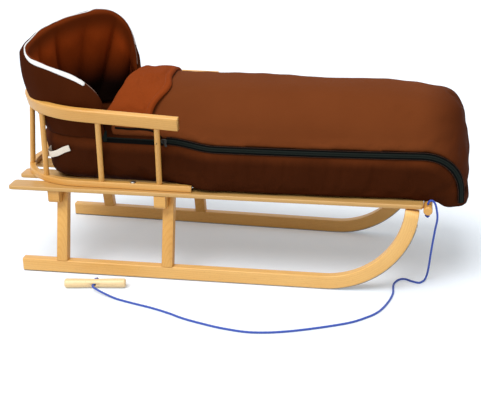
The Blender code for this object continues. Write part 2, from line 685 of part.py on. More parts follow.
zip_rear_x = HOOD_FRONT_X + ZIP_HOOD_CLEARANCE
side_steps, bend_steps = 24, 15
zip_xs = [zip_rear_x + (fall_start_x - zip_rear_x) * step / side_steps for step in range(side_steps)]
for step in range(bend_steps + 1):
    turn = math.radians(ZIP_END_TURN) * step / bend_steps
    zip_xs.append(fall_start_x + (fall_end_x - fall_start_x) * math.sin(turn) ** (2 / SEAM_FALL_POWER))
for suffix, side in SIDES:
    path = []
    for x in zip_xs:
        share = max(0.0, x - (MUFF_FOOT_X - FOOT_ROUND)) / FOOT_ROUND
        qy = (1 - share ** PLAN_POWERS[1]) ** (1 / PLAN_POWERS[1])
        path.append(Vector((x, side * qy * half_width(x), seam_z(x))))
    outward = []
    for i in range(len(path)):
        ahead = path[min(i + 1, len(path) - 1)] - path[max(i - 1, 0)]
        outward.append(Vector((ahead.y, -ahead.x, 0)).normalized() * (-side))
    path = [point + out * (ZIP_THICKNESS / 2 + ZIP_STAND_OFF) for point, out in zip(path, outward)]
    band("muff_zip_" + suffix, path, outward, "zip_black")

# Pull cord: up through the front bar, over it, down to the ground and along
# the sled's right side to the handle.
cord_radius = CORD_DIAMETER / 2
lie = cord_radius + 0.0003
turn = math.radians(HANDLE_TURN)
across = Vector((-math.sin(turn), math.cos(turn), 0))
handle_middle = Vector((*HANDLE_CENTRE, HANDLE_DIAMETER / 2 + 0.0002))
knot_low = Vector((BAR_X, CORD_Y, BAR_Z - BAR_RADIUS - KNOT_DIAMETER / 2 - 2 * GAP))
knot_far = handle_middle + across * (HANDLE_DIAMETER / 2 + KNOT_DIAMETER / 2 + 2 * GAP)
CORD_ROUTE = (
    # x, y, z on the way from the bar to the handle
    (0.4322, -0.1460, 0.1980),
    (0.4325, -0.1460, 0.2075),
    (0.4375, -0.1465, 0.2125),
    (0.4440, -0.1475, 0.2100),
    (0.4490, -0.1480, 0.1990),
    (0.4530, -0.1430, 0.1720),
    (0.4500, -0.1330, 0.1400),
    (0.4455, -0.1180, 0.0870),
    (0.4425, -0.0990, 0.0360),
    (0.4395, -0.0880, 0.0110),
    (0.4340, -0.0960, lie),
    (0.4240, -0.1080, lie),
    (0.4080, -0.1030, lie),
    (0.3920, -0.0940, lie),
    (0.3780, -0.1020, lie),
    (0.3690, -0.1270, lie),
    (0.3690, -0.1710, lie),
    (0.3600, -0.2150, lie),
    (0.3440, -0.2570, lie),
    (0.3200, -0.2880, lie),
    (0.2760, -0.3230, lie),
    (0.1750, -0.3700, lie),
    (0.1000, -0.3880, lie),
    (0.0390, -0.3820, lie),
    (-0.0120, -0.3680, lie),
    (-0.0540, -0.3530, lie),
    (-0.0880, -0.3360, lie),
    (-0.1300, -0.3190, lie),
    (-0.1750, -0.3050, lie),
    (-0.2200, -0.2890, lie + 0.0005),
)


def smooth_route(points, spacing):
    """Catmull-Rom curve through the points, resampled about every spacing."""
    fine = []
    padded = [points[0] * 2 - points[1]] + points + [points[-1] * 2 - points[-2]]
    for i in range(1, len(padded) - 2):
        p0, p1, p2, p3 = padded[i - 1:i + 3]
        for k in range(12):
            t = k / 12
            fine.append(0.5 * (2 * p1 + (p2 - p0) * t + (2 * p0 - 5 * p1 + 4 * p2 - p3) * t * t
                               + (3 * p1 - p0 - 3 * p2 + p3) * t ** 3))
    fine.append(points[-1])
    lengths = [0.0]
    for a, b in zip(fine, fine[1:]):
        lengths.append(lengths[-1] + (b - a).length)
    count = max(2, round(lengths[-1] / spacing))
    out, j = [], 0
    for i in range(count + 1):
        want = lengths[-1] * i / count
        while j < len(fine) - 2 and lengths[j + 1] < want:
            j += 1
        share = (want - lengths[j]) / (lengths[j + 1] - lengths[j])
        out.append(fine[j].lerp(fine[j + 1], share))
    return out


cord_start = Vector((BAR_X, CORD_Y, BAR_Z - BAR_RADIUS - GAP))
near_handle = handle_middle - across * (HANDLE_DIAMETER / 2)
cord_end = handle_middle + across * (HANDLE_DIAMETER / 2)
bar_side = smooth_route([cord_start] + [Vector(p) for p in CORD_ROUTE[:10]], 0.0095)
ground_side = smooth_route([Vector(p) for p in CORD_ROUTE[9:]]
                           + [near_handle - across * 0.012, near_handle + across * 0.003], 0.0185)
cord_points = bar_side + ground_side[1:] + [cord_end]
for point in cord_points:
    point.z = max(point.z, lie)
data = bpy.data.curves.new("pull_cord", "CURVE")
data.dimensions = "3D"
data.bevel_depth = cord_radius
data.bevel_resolution = 2
data.use_fill_caps = True
spline = data.splines.new("POLY")
spline.points.add(len(cord_points) - 1)
for point, co in zip(spline.points, cord_points):
    point.co = (*co, 1)
spline.use_smooth = True
add("pull_cord", data, "cord_blue")

for node, centre in (("cord_knot_bar", knot_low), ("cord_knot_handle", knot_far)):
    bm = bmesh.new()
    bmesh.ops.create_uvsphere(bm, u_segments=12, v_segments=8, radius=KNOT_DIAMETER / 2)
    bmesh.ops.translate(bm, vec=centre, verts=bm.verts)
    add(node, mesh_from(bm, node), "cord_blue")

# The handle is turned, a little thinner in the middle, and bored across.
bm = bmesh.new()
sides = 20
bmesh.ops.create_cone(bm, cap_ends=True, segments=sides, radius1=HANDLE_DIAMETER / 2,
                      radius2=HANDLE_DIAMETER / 2, depth=HANDLE_LENGTH)
rims = [e for e in bm.edges if abs(e.verts[0].co.z - e.verts[1].co.z) < 1e-6]
bmesh.ops.bevel(bm, geom=rims, offset=0.004, segments=3, affect="EDGES", profile=0.5)
bmesh.ops.subdivide_edges(bm, edges=[e for e in bm.edges if abs(e.verts[0].co.z - e.verts[1].co.z)
                                     > HANDLE_LENGTH / 2], cuts=5)
for vert in bm.verts:
    near = 1 - ramp(abs(vert.co.z) / (HANDLE_LENGTH * 0.3))
    slim = 1 - (1 - HANDLE_WAIST / HANDLE_DIAMETER) * near
    vert.co.x *= slim
    vert.co.y *= slim
place = (Matrix.Translation(handle_middle) @ Matrix.Rotation(turn, 4, "Z")
         @ Matrix.Rotation(math.radians(90), 4, "Y"))
bmesh.ops.transform(bm, matrix=place, verts=bm.verts)
handle = add("pull_handle", mesh_from(bm, "pull_handle"), "beech")
cut(handle, guide(bpy.data.objects.new("handle_bore", cylinder_mesh(
    "handle_bore", handle_middle - across * 0.02, handle_middle + across * 0.02, CORD_BORE))))
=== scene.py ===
"""Looks of a child's wooden sled with a bent-wood backrest and a quilted foot muff.

Metres, +Z up, +X toward the front bar, +Y to the sled's left side. The sled
stands on z = 0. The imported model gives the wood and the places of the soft
parts, which are made again here as padded cloth.
"""
import math

import bmesh
import bpy
import numpy as np
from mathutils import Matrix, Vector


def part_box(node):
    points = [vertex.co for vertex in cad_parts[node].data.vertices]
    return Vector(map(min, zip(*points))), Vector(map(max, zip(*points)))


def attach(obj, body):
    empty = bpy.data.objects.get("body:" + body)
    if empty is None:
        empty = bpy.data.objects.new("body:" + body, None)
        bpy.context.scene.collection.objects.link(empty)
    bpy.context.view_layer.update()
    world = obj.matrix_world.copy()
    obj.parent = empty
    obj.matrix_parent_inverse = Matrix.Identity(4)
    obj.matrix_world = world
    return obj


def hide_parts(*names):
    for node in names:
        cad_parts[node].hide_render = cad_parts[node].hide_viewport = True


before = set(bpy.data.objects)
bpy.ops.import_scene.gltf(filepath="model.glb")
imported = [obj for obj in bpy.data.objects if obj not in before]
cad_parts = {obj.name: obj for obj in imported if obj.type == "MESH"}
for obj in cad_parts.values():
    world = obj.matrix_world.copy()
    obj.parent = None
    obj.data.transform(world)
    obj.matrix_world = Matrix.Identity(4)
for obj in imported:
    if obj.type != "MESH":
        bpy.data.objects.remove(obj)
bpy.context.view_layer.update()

BODY = "root"

# camera, from the photograph's perspective
CAMERA_PLACE = (0.3847, -2.0367, 0.9350)
CAMERA_TURN = (68.80, 0.654, 10.603)   # degrees about x, y and z
FOCAL_LENGTH = 71.1                    # mm on a sensor 36 mm wide

# pull cord
CORD_DIAMETER = 0.0045
CORD_LIE = CORD_DIAMETER / 2 + 0.0003
CORD_HANGING = (
    # x, y, z from the knot under the front bar, over the bar and down
    (0.4223, -0.1460, 0.1852), (0.4222, -0.1460, 0.1980), (0.4225, -0.1460, 0.2075),
    (0.4275, -0.1465, 0.2125), (0.4340, -0.1475, 0.2100), (0.4390, -0.1480, 0.1990),
    (0.4430, -0.1430, 0.1720), (0.4400, -0.1330, 0.1400), (0.4355, -0.1180, 0.0870),
    (0.4325, -0.0990, 0.0360), (0.4295, -0.0880, 0.0110),
)
CORD_LYING = (
    # x, y on the floor
    (0.4240, -0.0960), (0.4140, -0.1080), (0.3980, -0.1030), (0.3820, -0.0940), (0.3680, -0.1020),
    (0.3590, -0.1270), (0.3590, -0.1710), (0.3500, -0.2150), (0.3340, -0.2570), (0.3100, -0.2880),
    (0.2660, -0.3230), (0.1650, -0.3700), (0.0900, -0.3880), (0.0290, -0.3820), (-0.0220, -0.3680),
    (-0.0640, -0.3530), (-0.0980, -0.3360), (-0.1400, -0.3190), (-0.1850, -0.3050),
)
CORD_END = (
    # x, y, z up into the handle
    (-0.2300, -0.2890, CORD_LIE + 0.0005), (-0.28486, -0.26246, 0.01045),
    (-0.28801, -0.24348, 0.01045), (-0.29017, -0.23039, 0.01045),
)
BRAID_STRANDS = 4         # each way round in relief; the colour has twice as many
BRAID_PITCH = 0.009       # length in which a crest goes 90 degrees round
BRAID_DEPTH = 0.00012
KNOT_DIAMETER = 0.0115
HANDLE_TURN = 9.4         # degrees

# wood
RING_PITCH = 0.0042       # from one growth ring to the next
RUNNER_BEND_X = 0.2075
RUNNER_BEND_RADIUS = 0.200
LOWER_RAIL_CENTRE_X = -0.3475
LOWER_RAIL_RADIUS = 0.1525
UPPER_RAIL_CENTRE_X = -0.300
UPPER_RAIL_RADIUS = 0.1885

# foot muff, whose ends and width come from the imported tray
WEAVE_PITCH = 0.0012
TRAY_GRID = 0.0055        # between the points of the remeshed surface
COVER_GRID = 0.0065
MUFF_WIDEST_X = -0.060
MUFF_TAPER = 0.095        # half width lost per square metre from the widest place
TAIL_ROUND = 0.125        # length of the rounded tail
FOOT_ROUND = 0.090
PLAN_POWERS = (2.6, 5.0)  # squareness of the muff in plan, at the tail and at the foot
CROWN_POWER = 2.5         # squareness across the upper half
SLAT_TOP_Z = 0.2045
SEAM_Z = 0.306
SEAM_REAR_RISE = 0.014
SEAM_REAR_XS = (-0.030, -0.130)
SEAM_FOOT_DROP = 0.092
SEAM_FALL = (0.1120, 0.0200)   # behind the foot end, where the seam turns down and is down
SEAM_FALL_POWER = 2.4
SEAM_LIP = 0.004
ZIP_END_TURN = 86.0            # degrees of the seam's bend that the zip follows down
SLIDER_X = -0.140              # the zips are open behind it
STOP_X = -0.2735               # the stop at the zips' rear end
ZIP_OUT = 0.0028               # the lips and seams lie this far out of the seam line
ZIP_SEAM_RISE = 0.0078         # the rows of stitches lie this far above and below it
TAPE_END = 0.812               # share of the hood's rim
TAPE_THICKNESS = 0.0009

# light
WORLD_LIGHT = 0.61             # of the white that the camera sees
SUN_GAZE = (0.26, 0.56, -1.0)
SUN_ANGLE = 34.0               # degrees
SUN_STRENGTH = 2.1
LAMP_PLACE = (-0.2, -0.3, 2.6)
LAMP_GAZE = (0.2, 0.3, -2.4)
LAMP_SIZE = 1.8
LAMP_WATTS = 8.0
FLOOR_LIFT = 0.21              # what the floor adds toward white for the camera
FLOOR_REACH = 14.0


def ramp(value, start, end):
    """0 up to start and 1 from end on, with the smooth step 3t^2 - 2t^3 between them."""
    t = np.clip((np.asarray(value, float) - start) / (end - start), 0, 1)
    return t * t * (3 - 2 * t)


def bump(value, centre, width):
    """A bell: exp of minus the square of the distance from centre in widths."""
    return np.exp(-((np.asarray(value, float) - centre) / width) ** 2)


def round_off(value, start, end, least=0.0):
    """1 up to start and then down a quarter circle toward end; its square is never under least."""
    t = np.clip((np.asarray(value, float) - start) / (end - start), 0, 1)
    return np.sqrt(np.clip(1 - t * t, least, 1))


def unit(rows):
    """Each row over its own length."""
    return rows / np.linalg.norm(rows, axis=-1, keepdims=True)


def waver(u, v, seed):
    """Irregular soft waves between about -1 and 1: four sines of unlike directions and phases."""
    total = 0
    for step in range(4):
        turn = seed * 1.7 + step * 2.4
        pitch = 1 + 0.37 * step
        total = total + np.sin(pitch * (u * math.cos(turn) + v * math.sin(turn)) + seed * 3.1 + step)
    return total / 3


def distances(points):
    """Length of a chain of points from its start to each of them."""
    return np.concatenate([[0], np.cumsum(np.linalg.norm(np.diff(points, axis=0), axis=1))])


def length_of(points):
    """Length of a chain of points."""
    return float(distances(points)[-1])


def resample(points, count):
    """count points, equally far apart along a chain of points."""
    along = distances(points)
    wanted = np.linspace(0, along[-1], count)
    return np.stack([np.interp(wanted, along, values) for values in points.T], 1)


def smooth_curve(points, fine=24):
    """Catmull-Rom curve through points.

    Between b and c, with neighbours a and d, it is half of
    2b + (c - a) t + (2a - 5b + 4c - d) t^2 + (3b - a - 3c + d) t^3.
    """
    given = np.asarray(points, float)
    given = np.vstack([2 * given[0] - given[1], given, 2 * given[-1] - given[-2]])
    a, b, c, d = (given[start:len(given) - 3 + start, None] for start in range(4))
    t = np.linspace(0, 1, fine, endpoint=False)[None, :, None]
    curve = (2 * b + (c - a) * t + (2 * a - 5 * b + 4 * c - d) * t ** 2
             + (3 * b - a - 3 * c + d) * t ** 3) / 2
    return np.vstack([curve.reshape(-1, 3), given[-2]])


def directions(path, reference):
    """Across and up at each point of a path; across is square to the path and to reference."""
    along = unit(np.gradient(path, axis=0))
    across = unit(np.cross(along, reference))
    return across, np.cross(across, along)


def circle(diameter, sides=12):
    """x and y of points on a circle, as radius times cos and sin of equal turns."""
    angle = np.linspace(0, 2 * math.pi, sides, endpoint=False)
    return np.stack([np.cos(angle), np.sin(angle)], 1) * diameter / 2


def set_all(item, settings):
    """Gives an item's properties their values, in order."""
    for name, value in settings.items():
        setattr(item, name, value)


def linked(name, data):
    """A new object in the scene."""
    item = bpy.data.objects.new(name, data)
    bpy.context.scene.collection.objects.link(item)
    return item


def mesh_piece(name, points, faces, uvs=None):
    """An object of points and faces, with the map of its corners."""
    mesh = bpy.data.meshes.new(name)
    mesh.from_pydata(points.tolist(), [], [list(face) for face in faces])
    if uvs is not None:
        layer = mesh.uv_layers.new(name="cloth")
        layer.data.foreach_set("uv", np.asarray(uvs, np.float32).ravel())
    mesh.shade_smooth()
    mesh.update()
    return linked(name, mesh)


def corners(grid):
    """The four corners of each cell of a grid, in order round it."""
    return np.stack([grid[:-1, :-1], grid[1:, :-1], grid[1:, 1:], grid[:-1, 1:]], 2)


def grid_piece(name, points, wrap=False, cap=False, uv_size=(1.0, 1.0)):
    """A surface through a grid of points, rows by columns.

    With wrap each row closes on itself, as round a tube, and cap closes the
    tube's two ends. Its map runs from 0 to uv_size along the rows' and the
    columns' directions. A closed surface that encloses a negative volume is
    turned the other way round.
    """
    rows, columns = points.shape[:2]
    index = np.arange(rows * columns).reshape(rows, columns)
    if wrap:
        index = np.hstack([index, index[:, :1]])
    quads = corners(index).reshape(-1, 4)
    u, v = np.meshgrid(np.linspace(0, uv_size[0], rows),
                       np.linspace(0, uv_size[1], index.shape[1]), indexing="ij")
    corner_uvs = corners(np.stack([u, v], -1)).reshape(-1, 4, 2)
    flat = points.reshape(-1, 3)
    faces = quads.tolist()
    caps = [index[0, :columns].tolist(), index[-1, :columns][::-1].tolist()] if cap else []
    a, b, c, d = (flat[quads[:, corner]] for corner in range(4))
    volume = np.einsum("ij,ij->", a, np.cross(b, c)) + np.einsum("ij,ij->", a, np.cross(c, d))
    uvs = corner_uvs.reshape(-1, 2)
    if wrap and volume < 0:
        faces = [face[::-1] for face in faces]
        uvs = corner_uvs[:, ::-1].reshape(-1, 2)
        caps = [face[::-1] for face in caps]
    uvs = np.vstack([uvs, np.zeros((sum(len(face) for face in caps), 2))])
    return mesh_piece(name, flat, faces + caps, uvs)


def pebble(name, centre, axes, size, power):
    """A superellipsoid: along each axis, half its size times cos or sin of two angles, to a power."""
    rise = np.linspace(-math.pi / 2 + 0.02, math.pi / 2 - 0.02, 15)[:, None]
    round_it = np.linspace(0, 2 * math.pi, 24, endpoint=False)[None, :]

    def bent(value):
        return np.sign(value) * np.abs(value) ** power
    unit_points = np.stack([bent(np.cos(rise)) * bent(np.cos(round_it)),
                            bent(np.cos(rise)) * bent(np.sin(round_it)),
                            bent(np.sin(rise)) * np.ones_like(round_it)], -1)
    points = centre + (unit_points * np.asarray(size) / 2) @ np.asarray(axes)
    return grid_piece(name, points, wrap=True, cap=True)


def stitches(name, line, out, pitch=0.0034, length=0.0026, thread=0.0006):
    """A row of stitches of six sides, whose radius from end to end is that of an ellipse."""
    steps = distances(line)
    wanted = np.linspace(0, steps[-1], max(2, round(steps[-1] / pitch)))
    values = np.concatenate([line, out], axis=1).T
    picked = np.stack([np.interp(wanted, steps, value) for value in values], 1)
    centres, up = picked[:, :3], unit(picked[:, 3:])
    along = unit(np.gradient(centres, axis=0))
    along = unit(along - up * (along * up).sum(1, keepdims=True))
    axes = np.stack([along, np.cross(up, along), up], 1)
    turn = np.linspace(-0.92, 0.92, 5)[:, None, None]
    across = thread * np.sqrt(1 - turn ** 2) * circle(1.0, 6)
    rings = np.concatenate([np.broadcast_to(turn * length / 2, (5, 6, 1)), across], -1).reshape(-1, 3)
    placed = centres[:, None] + np.einsum("tk,nkc->ntc", rings, axes)
    index = np.arange(30).reshape(5, 6)
    quads = corners(np.hstack([index, index[:, :1]])).reshape(-1, 4)
    ends = [(1, 2, 3, 0), (3, 4, 5, 0), (27, 26, 25, 24), (29, 28, 27, 24)]
    faces = np.vstack([quads, ends]) + np.arange(len(centres))[:, None, None] * 30
    return mesh_piece(name, placed.reshape(-1, 3), faces.reshape(-1, 4))


def carried(name, path, across, up, profile, uv_size=(1.0, 1.0), cap=True):
    """A closed profile carried along a path: path + across * profile x + up * profile y."""
    profile = np.asarray(profile, float)
    if profile.ndim == 2:
        profile = np.broadcast_to(profile, (len(path),) + profile.shape)
    points = path[:, None] + across[:, None] * profile[..., 0:1] + up[:, None] * profile[..., 1:2]
    return grid_piece(name, points, wrap=True, cap=cap, uv_size=uv_size)


def rounded(width, height, radius, steps=3):
    """Outline of a rectangle with round corners, as an array of x and y."""
    quarter = np.linspace(0, math.pi / 2, steps + 1)
    turns = (np.arange(4)[:, None] * math.pi / 2 + quarter).ravel()
    corner = np.repeat(np.array([(1, 1), (-1, 1), (-1, -1), (1, -1)]), steps + 1, axis=0)
    middle = corner * (np.array([width, height]) / 2 - radius)
    return middle + radius * np.stack([np.cos(turns), np.sin(turns)], 1)


def vectors(items, name="co"):
    """A property of three parts of all the items of a mesh."""
    values = np.empty(len(items) * 3, np.float32)
    items.foreach_get(name, values)
    return values.reshape(-1, 3).astype(float)


def points_of(piece):
    """The places of a piece's vertices."""
    return vectors(piece.data.vertices)


def place_vertices(piece, points):
    """Moves a piece's vertices to points."""
    piece.data.vertices.foreach_set("co", np.asarray(points, np.float32).ravel())
    piece.data.update()


def store(piece, name, values):
    """Keeps three numbers for each vertex, for the piece's material."""
    layer = piece.data.attributes.new(name, "FLOAT_VECTOR", "POINT")
    layer.data.foreach_set("vector", np.asarray(values, np.float32).ravel())


def merged_copy(name, node):
    """A copy of a CAD node with its loose triangles joined."""
    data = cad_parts[node].data.copy()
    data.materials.clear()
    work = bmesh.new()
    work.from_mesh(data)
    bmesh.ops.remove_doubles(work, verts=work.verts, dist=0.00001)
    work.to_mesh(data)
    work.free()
    data.name = name
    return linked(name, data)


def modify(piece, kind, **settings):
    """Adds a modifier with its settings."""
    modifier = piece.modifiers.new(kind.lower(), kind)
    set_all(modifier, settings)
    return modifier


def smoothed(piece):
    """Smooth faces between edges of 50 degrees and more."""
    piece.data.shade_smooth()
    piece.data.set_sharp_from_angle(angle=math.radians(50))
    return piece


def bake_modifiers(piece):
    """Takes the modified mesh as the piece's own."""
    evaluated = piece.evaluated_get(bpy.context.evaluated_depsgraph_get())
    mesh = bpy.data.meshes.new_from_object(evaluated)
    piece.modifiers.clear()
    piece.data = mesh
    return piece


def finish_piece(piece, finish, slot, *nodes):
    """Gives a piece its material, makes it ride, and hides the nodes it stands for. Its slot is not used.
    """
    piece.data.materials.clear()
    piece.data.materials.append(finish)
    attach(piece, BODY)
    if nodes:
        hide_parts(*nodes)
    return piece


# Materials
def maths(operation):
    """A method that adds a Math node for a wire and a second value."""
    def method(self, other):
        return self.tree.node("ShaderNodeMath", {"operation": operation}, {0: self, 1: other})
    return method


class Wire:
    """A socket in a tree of nodes. Arithmetic on it adds Math nodes."""

    def __init__(self, tree, socket):
        self.tree = tree
        self.socket = socket

    __add__ = __radd__ = maths("ADD")
    __mul__ = __rmul__ = maths("MULTIPLY")
    __sub__ = maths("SUBTRACT")
    __pow__ = maths("POWER")
    largest = maths("MAXIMUM")

    def __rsub__(self, other):
        return self.tree.node("ShaderNodeMath", {"operation": "SUBTRACT"}, {0: other, 1: self})

    def sine(self):
        return self.tree.node("ShaderNodeMath", {"operation": "SINE"}, {0: self})

    def clipped(self):
        return self.tree.node("ShaderNodeClamp", {}, {"Value": self})

    def step(self, low, high):
        """0 at low, 1 at high, smooth between them."""
        return self.tree.node("ShaderNodeMapRange", {"interpolation_type": "SMOOTHSTEP"},
                              {"Value": self, "From Min": low, "From Max": high})

    def parts(self):
        """The x, y and z of a vector."""
        outputs = self.tree.node("ShaderNodeSeparateXYZ", {}, {"Vector": self}).socket.node.outputs
        return tuple(Wire(self.tree, outputs[axis]) for axis in ("X", "Y", "Z"))

    def times(self, vector):
        """A vector times another, part by part."""
        return self.tree.node("ShaderNodeVectorMath", {"operation": "MULTIPLY"}, {0: self, 1: vector})

    def length(self):
        return self.tree.node("ShaderNodeVectorMath", {"operation": "LENGTH"}, {0: self})


class Tree:
    """The nodes of a material or of the world."""

    def __init__(self, tree):
        self.nodes = tree.nodes
        self.links = tree.links

    def node(self, kind, settings, sockets):
        """Adds a node: its settings first, then the values or links of its sockets."""
        node = self.nodes.new(kind)
        set_all(node, settings)
        for key, value in sockets.items():
            fitting = [node.inputs[key]] if isinstance(key, int) else \
                [s for s in node.inputs if s.name == key and s.enabled]
            if isinstance(value, Wire):
                self.links.new(value.socket, fitting[0])
            else:
                fitting[0].default_value = value
        return Wire(self, [s for s in node.outputs if s.enabled][0])

    def output(self, kind, name, **settings):
        """The named output of a new node."""
        return Wire(self, self.node(kind, settings, {}).socket.node.outputs[name])


class Finish(Tree):
    """A material that is being made, with its principled shader's constants."""

    def __init__(self, name, constants):
        self.material = bpy.data.materials.new(name)
        self.material.use_nodes = True
        super().__init__(self.material.node_tree)
        self.shader = self.nodes["Principled BSDF"]
        for socket, value in constants.items():
            self.shader.inputs[socket].default_value = value

    def place(self):
        """Object coordinates in metres."""
        return self.output("ShaderNodeTexCoord", "Object")

    def attribute(self, name):
        """A vector stored on the piece."""
        return self.output("ShaderNodeAttribute", "Vector", attribute_name=name)

    def map(self):
        """The two parts of the piece's own map."""
        return self.node("ShaderNodeUVMap", {"uv_map": "cloth"}, {}).parts()[:2]

    def noise(self, vector, scale, detail=2.0, roughness=0.5):
        """Soft noise between 0 and 1, of scale features to a metre."""
        sockets = {"Vector": vector, "Scale": scale, "Detail": detail, "Roughness": roughness}
        return self.node("ShaderNodeTexNoise", {}, sockets)

    def blend(self, share, first, second):
        """Colour from first to second as share goes from 0 to 1; triples are sRGB of 0 to 255."""
        first, second = (linear(*c) if isinstance(c, tuple) and len(c) == 3 else c for c in (first, second))
        return self.node("ShaderNodeMix", {"data_type": "RGBA"}, {"Factor": share, "A": first, "B": second})

    def with_painted_shading(self, cloth, colour):
        """Cloth that goes over to a colour of painted light or shade by the piece's attribute for it, from
        0 to 1.
        """
        return self.blend(self.attribute("painted_shading").parts()[0].clipped(), cloth, colour)

    def relief(self, height, depth, strength=1.0):
        """Feeds the shader's normal from a height between 0 and 1 that stands for depth metres."""
        self.feed("Normal", self.node("ShaderNodeBump", {},
                                      {"Height": height, "Distance": depth, "Strength": strength}))

    def feed(self, socket, wire):
        """Links a wire to one of the shader's sockets."""
        self.links.new(wire.socket, self.shader.inputs[socket])


def linear(red, green, blue):
    """An sRGB colour of 0 to 255 as a linear colour."""
    parts = np.array([red, green, blue]) / 255
    values = np.where(parts <= 0.04045, parts / 12.92, ((parts + 0.055) / 1.055) ** 2.4)
    return (*values.tolist(), 1.0)


def beech_finish(name, dark, light):
    """Varnished beech, from the attribute grain: metres along, across and through the board.

    Growth rings are shells round a pith line that wanders a little; short dark
    flecks and fine fibres run along the board.
    """
    finish = Finish(name, {"Coat Weight": 0.18, "Coat Roughness": 0.22})
    grain = finish.attribute("grain")
    wander = finish.noise(grain.times((1.6, 9.0, 9.0)), 1.0, 2.0)
    shells = (grain.times((0.0, 1.0, 1.0)).length() + wander * 0.012) * (2 * math.pi / RING_PITCH)
    late = (shells.sine() * 0.5 + 0.5) ** 3.0
    fibres = finish.noise(grain.times((22.0, 620.0, 620.0)), 1.0, 3.0)
    broad = finish.noise(grain.times((3.0, 16.0, 16.0)), 1.0, 2.0)
    flecks = finish.noise(grain.times((170.0, 1300.0, 1300.0)), 1.0, 1.0).step(0.63, 0.72)
    tone = (0.52 + (broad - 0.5) * 1.1 + (fibres - 0.5) * 0.5 - late * 0.22).clipped()
    wood = finish.blend(tone, dark, light)
    finish.feed("Base Color", finish.blend(flecks * 0.35, wood, (176, 118, 58)))
    finish.feed("Roughness", 0.36 + fibres * 0.16)
    finish.relief(fibres * 0.6 - flecks * 0.3 - late * 0.1, 0.0002, 0.6)
    return finish.material


def steel_finish():
    """Strip steel, drawn lengthwise, with dull spots."""
    finish = Finish("steel_dull", {"Metallic": 1.0})
    place = finish.place()
    drawn = finish.noise(place.times((6.0, 900.0, 900.0)), 1.0, 2.0)
    spots = finish.noise(place, 60.0, 3.0)
    finish.feed("Base Color", finish.blend(spots, (150, 148, 144), (196, 195, 192)))
    finish.feed("Roughness", 0.28 + spots * 0.25)
    finish.relief(drawn, 0.00005, 0.5)
    return finish.material


def woven(finish):
    """Height of a plain weave of 1.2 mm, laid on the face that each normal looks at.

    On a face square to z it is the product of sines along x and y, and so on
    for the other two; the squares of the normal's parts blend the three.
    """
    turns = 2 * math.pi / WEAVE_PITCH
    x, y, z = finish.place().times((turns, turns, turns)).parts()
    sines = [axis.sine() for axis in (x, y, z)]
    nx, ny, nz = finish.output("ShaderNodeNewGeometry", "Normal").parts()
    flat = sines[0] * sines[1] * nz * nz
    side = sines[0] * sines[2] * ny * ny
    end = sines[1] * sines[2] * nx * nx
    return (flat + side + end) * 0.5 + 0.5


def shell_finish(name, dark, light, painted_shading=None):
    """Dense brushed microfibre: a fine weave under a soft nap, a little lighter in patches.

    With a colour of painted highlight or shade, the cloth goes over to it where the piece's attribute for
    painted shading says so.
    """
    finish = Finish(name, {"Roughness": 0.9, "Specular IOR Level": 0.06})
    place = finish.place()
    weave = woven(finish)
    nap = finish.noise(place, 900.0, 2.0)
    patches = finish.noise(place, 11.0, 3.0)
    tone = ((patches - 0.5) * 0.8 + (nap - 0.5) * 0.35 + (weave - 0.5) * 0.25 + 0.5).clipped()
    cloth = finish.blend(tone, dark, light)
    finish.feed("Base Color", finish.with_painted_shading(cloth, painted_shading) if painted_shading else cloth)
    finish.relief(weave * 0.6 + nap * 0.5 + patches * 2.0, 0.00018, 0.7)
    return finish.material


def fleece_finish(name, dark, light, depths=None, rim=None):
    """Short-pile fleece: clumps of a few millimetres over fine fibres.

    With depths, a pair of heights, painted shade blackens the cloth from the upper
    height down to the lower one, at the bottom of the hood. With a rim colour, a
    painted shade on the hood's rim, it goes over to it by the piece's attribute for painted shading.
    """
    finish = Finish(name, {"Roughness": 0.95, "Specular IOR Level": 0.05})
    place = finish.place()
    clumps = finish.noise(place, 320.0, 3.0, 0.6)
    fibres = finish.noise(place, 1700.0, 2.0, 0.6)
    patches = finish.noise(place, 18.0, 2.0)
    tone = ((patches - 0.5) * 0.5 + (clumps - 0.5) * 0.7 + (fibres - 0.5) * 0.4 + 0.5).clipped()
    cloth = finish.blend(tone, dark, light)
    if depths:
        # Painted shade: the cloth goes nearly black toward the bottom of the hood.
        cloth = finish.blend(place.parts()[2].step(*depths), (22, 8, 4), cloth)
    # Painted shade: the rim colour darkens the lining near the hood's rim.
    finish.feed("Base Color", finish.with_painted_shading(cloth, rim) if rim else cloth)
    finish.relief(clumps * 0.7 + fibres * 0.4, 0.0005, 0.7)
    return finish.material


def tape_finish(name, dark, light, rib=0.0007, gloss=0.2):
    """Woven tape with ribs across its length; the map's first part runs along it in metres."""
    finish = Finish(name, {"Roughness": 0.7, "Specular IOR Level": gloss})
    along, across = finish.map()
    ribs = (along * (2 * math.pi / rib)).sine() * (across * (2 * math.pi / (rib * 1.6))).sine() * 0.5 + 0.5
    specks = finish.noise(finish.place(), 700.0, 2.0)
    finish.feed("Base Color", finish.blend((ribs * 0.6 + specks * 0.5).clipped(), dark, light))
    finish.relief(ribs, 0.00015, 0.8)
    return finish.material


def cord_finish():
    """Braided polyester: strands cross in two directions round the cord.

    The map gives metres along the cord and turns round it. Each strand is the
    crest of a sine, and the higher of the two directions lies on top.
    """
    finish = Finish("cord_braid", {"Roughness": 0.62, "Sheen Weight": 0.2, "Sheen Roughness": 0.4})
    along, around = finish.map()
    turning = around * (4 * math.pi * BRAID_STRANDS)
    advance = along * (4 * math.pi / BRAID_PITCH)
    right, left = (turning + advance).sine(), (turning - advance).sine()
    strands = right.largest(left) * 0.5 + 0.5
    fibres = finish.noise(finish.place(), 1500.0, 2.0)
    # Painted shade: the blue darkens into the gaps between the strands' crests.
    tone = (strands * 0.7 + (fibres - 0.5) * 0.5 + 0.1).clipped()
    finish.feed("Base Color", finish.blend(tone, (18, 40, 118), (58, 96, 205)))
    finish.relief(strands, 0.0003, 0.8)
    return finish.material


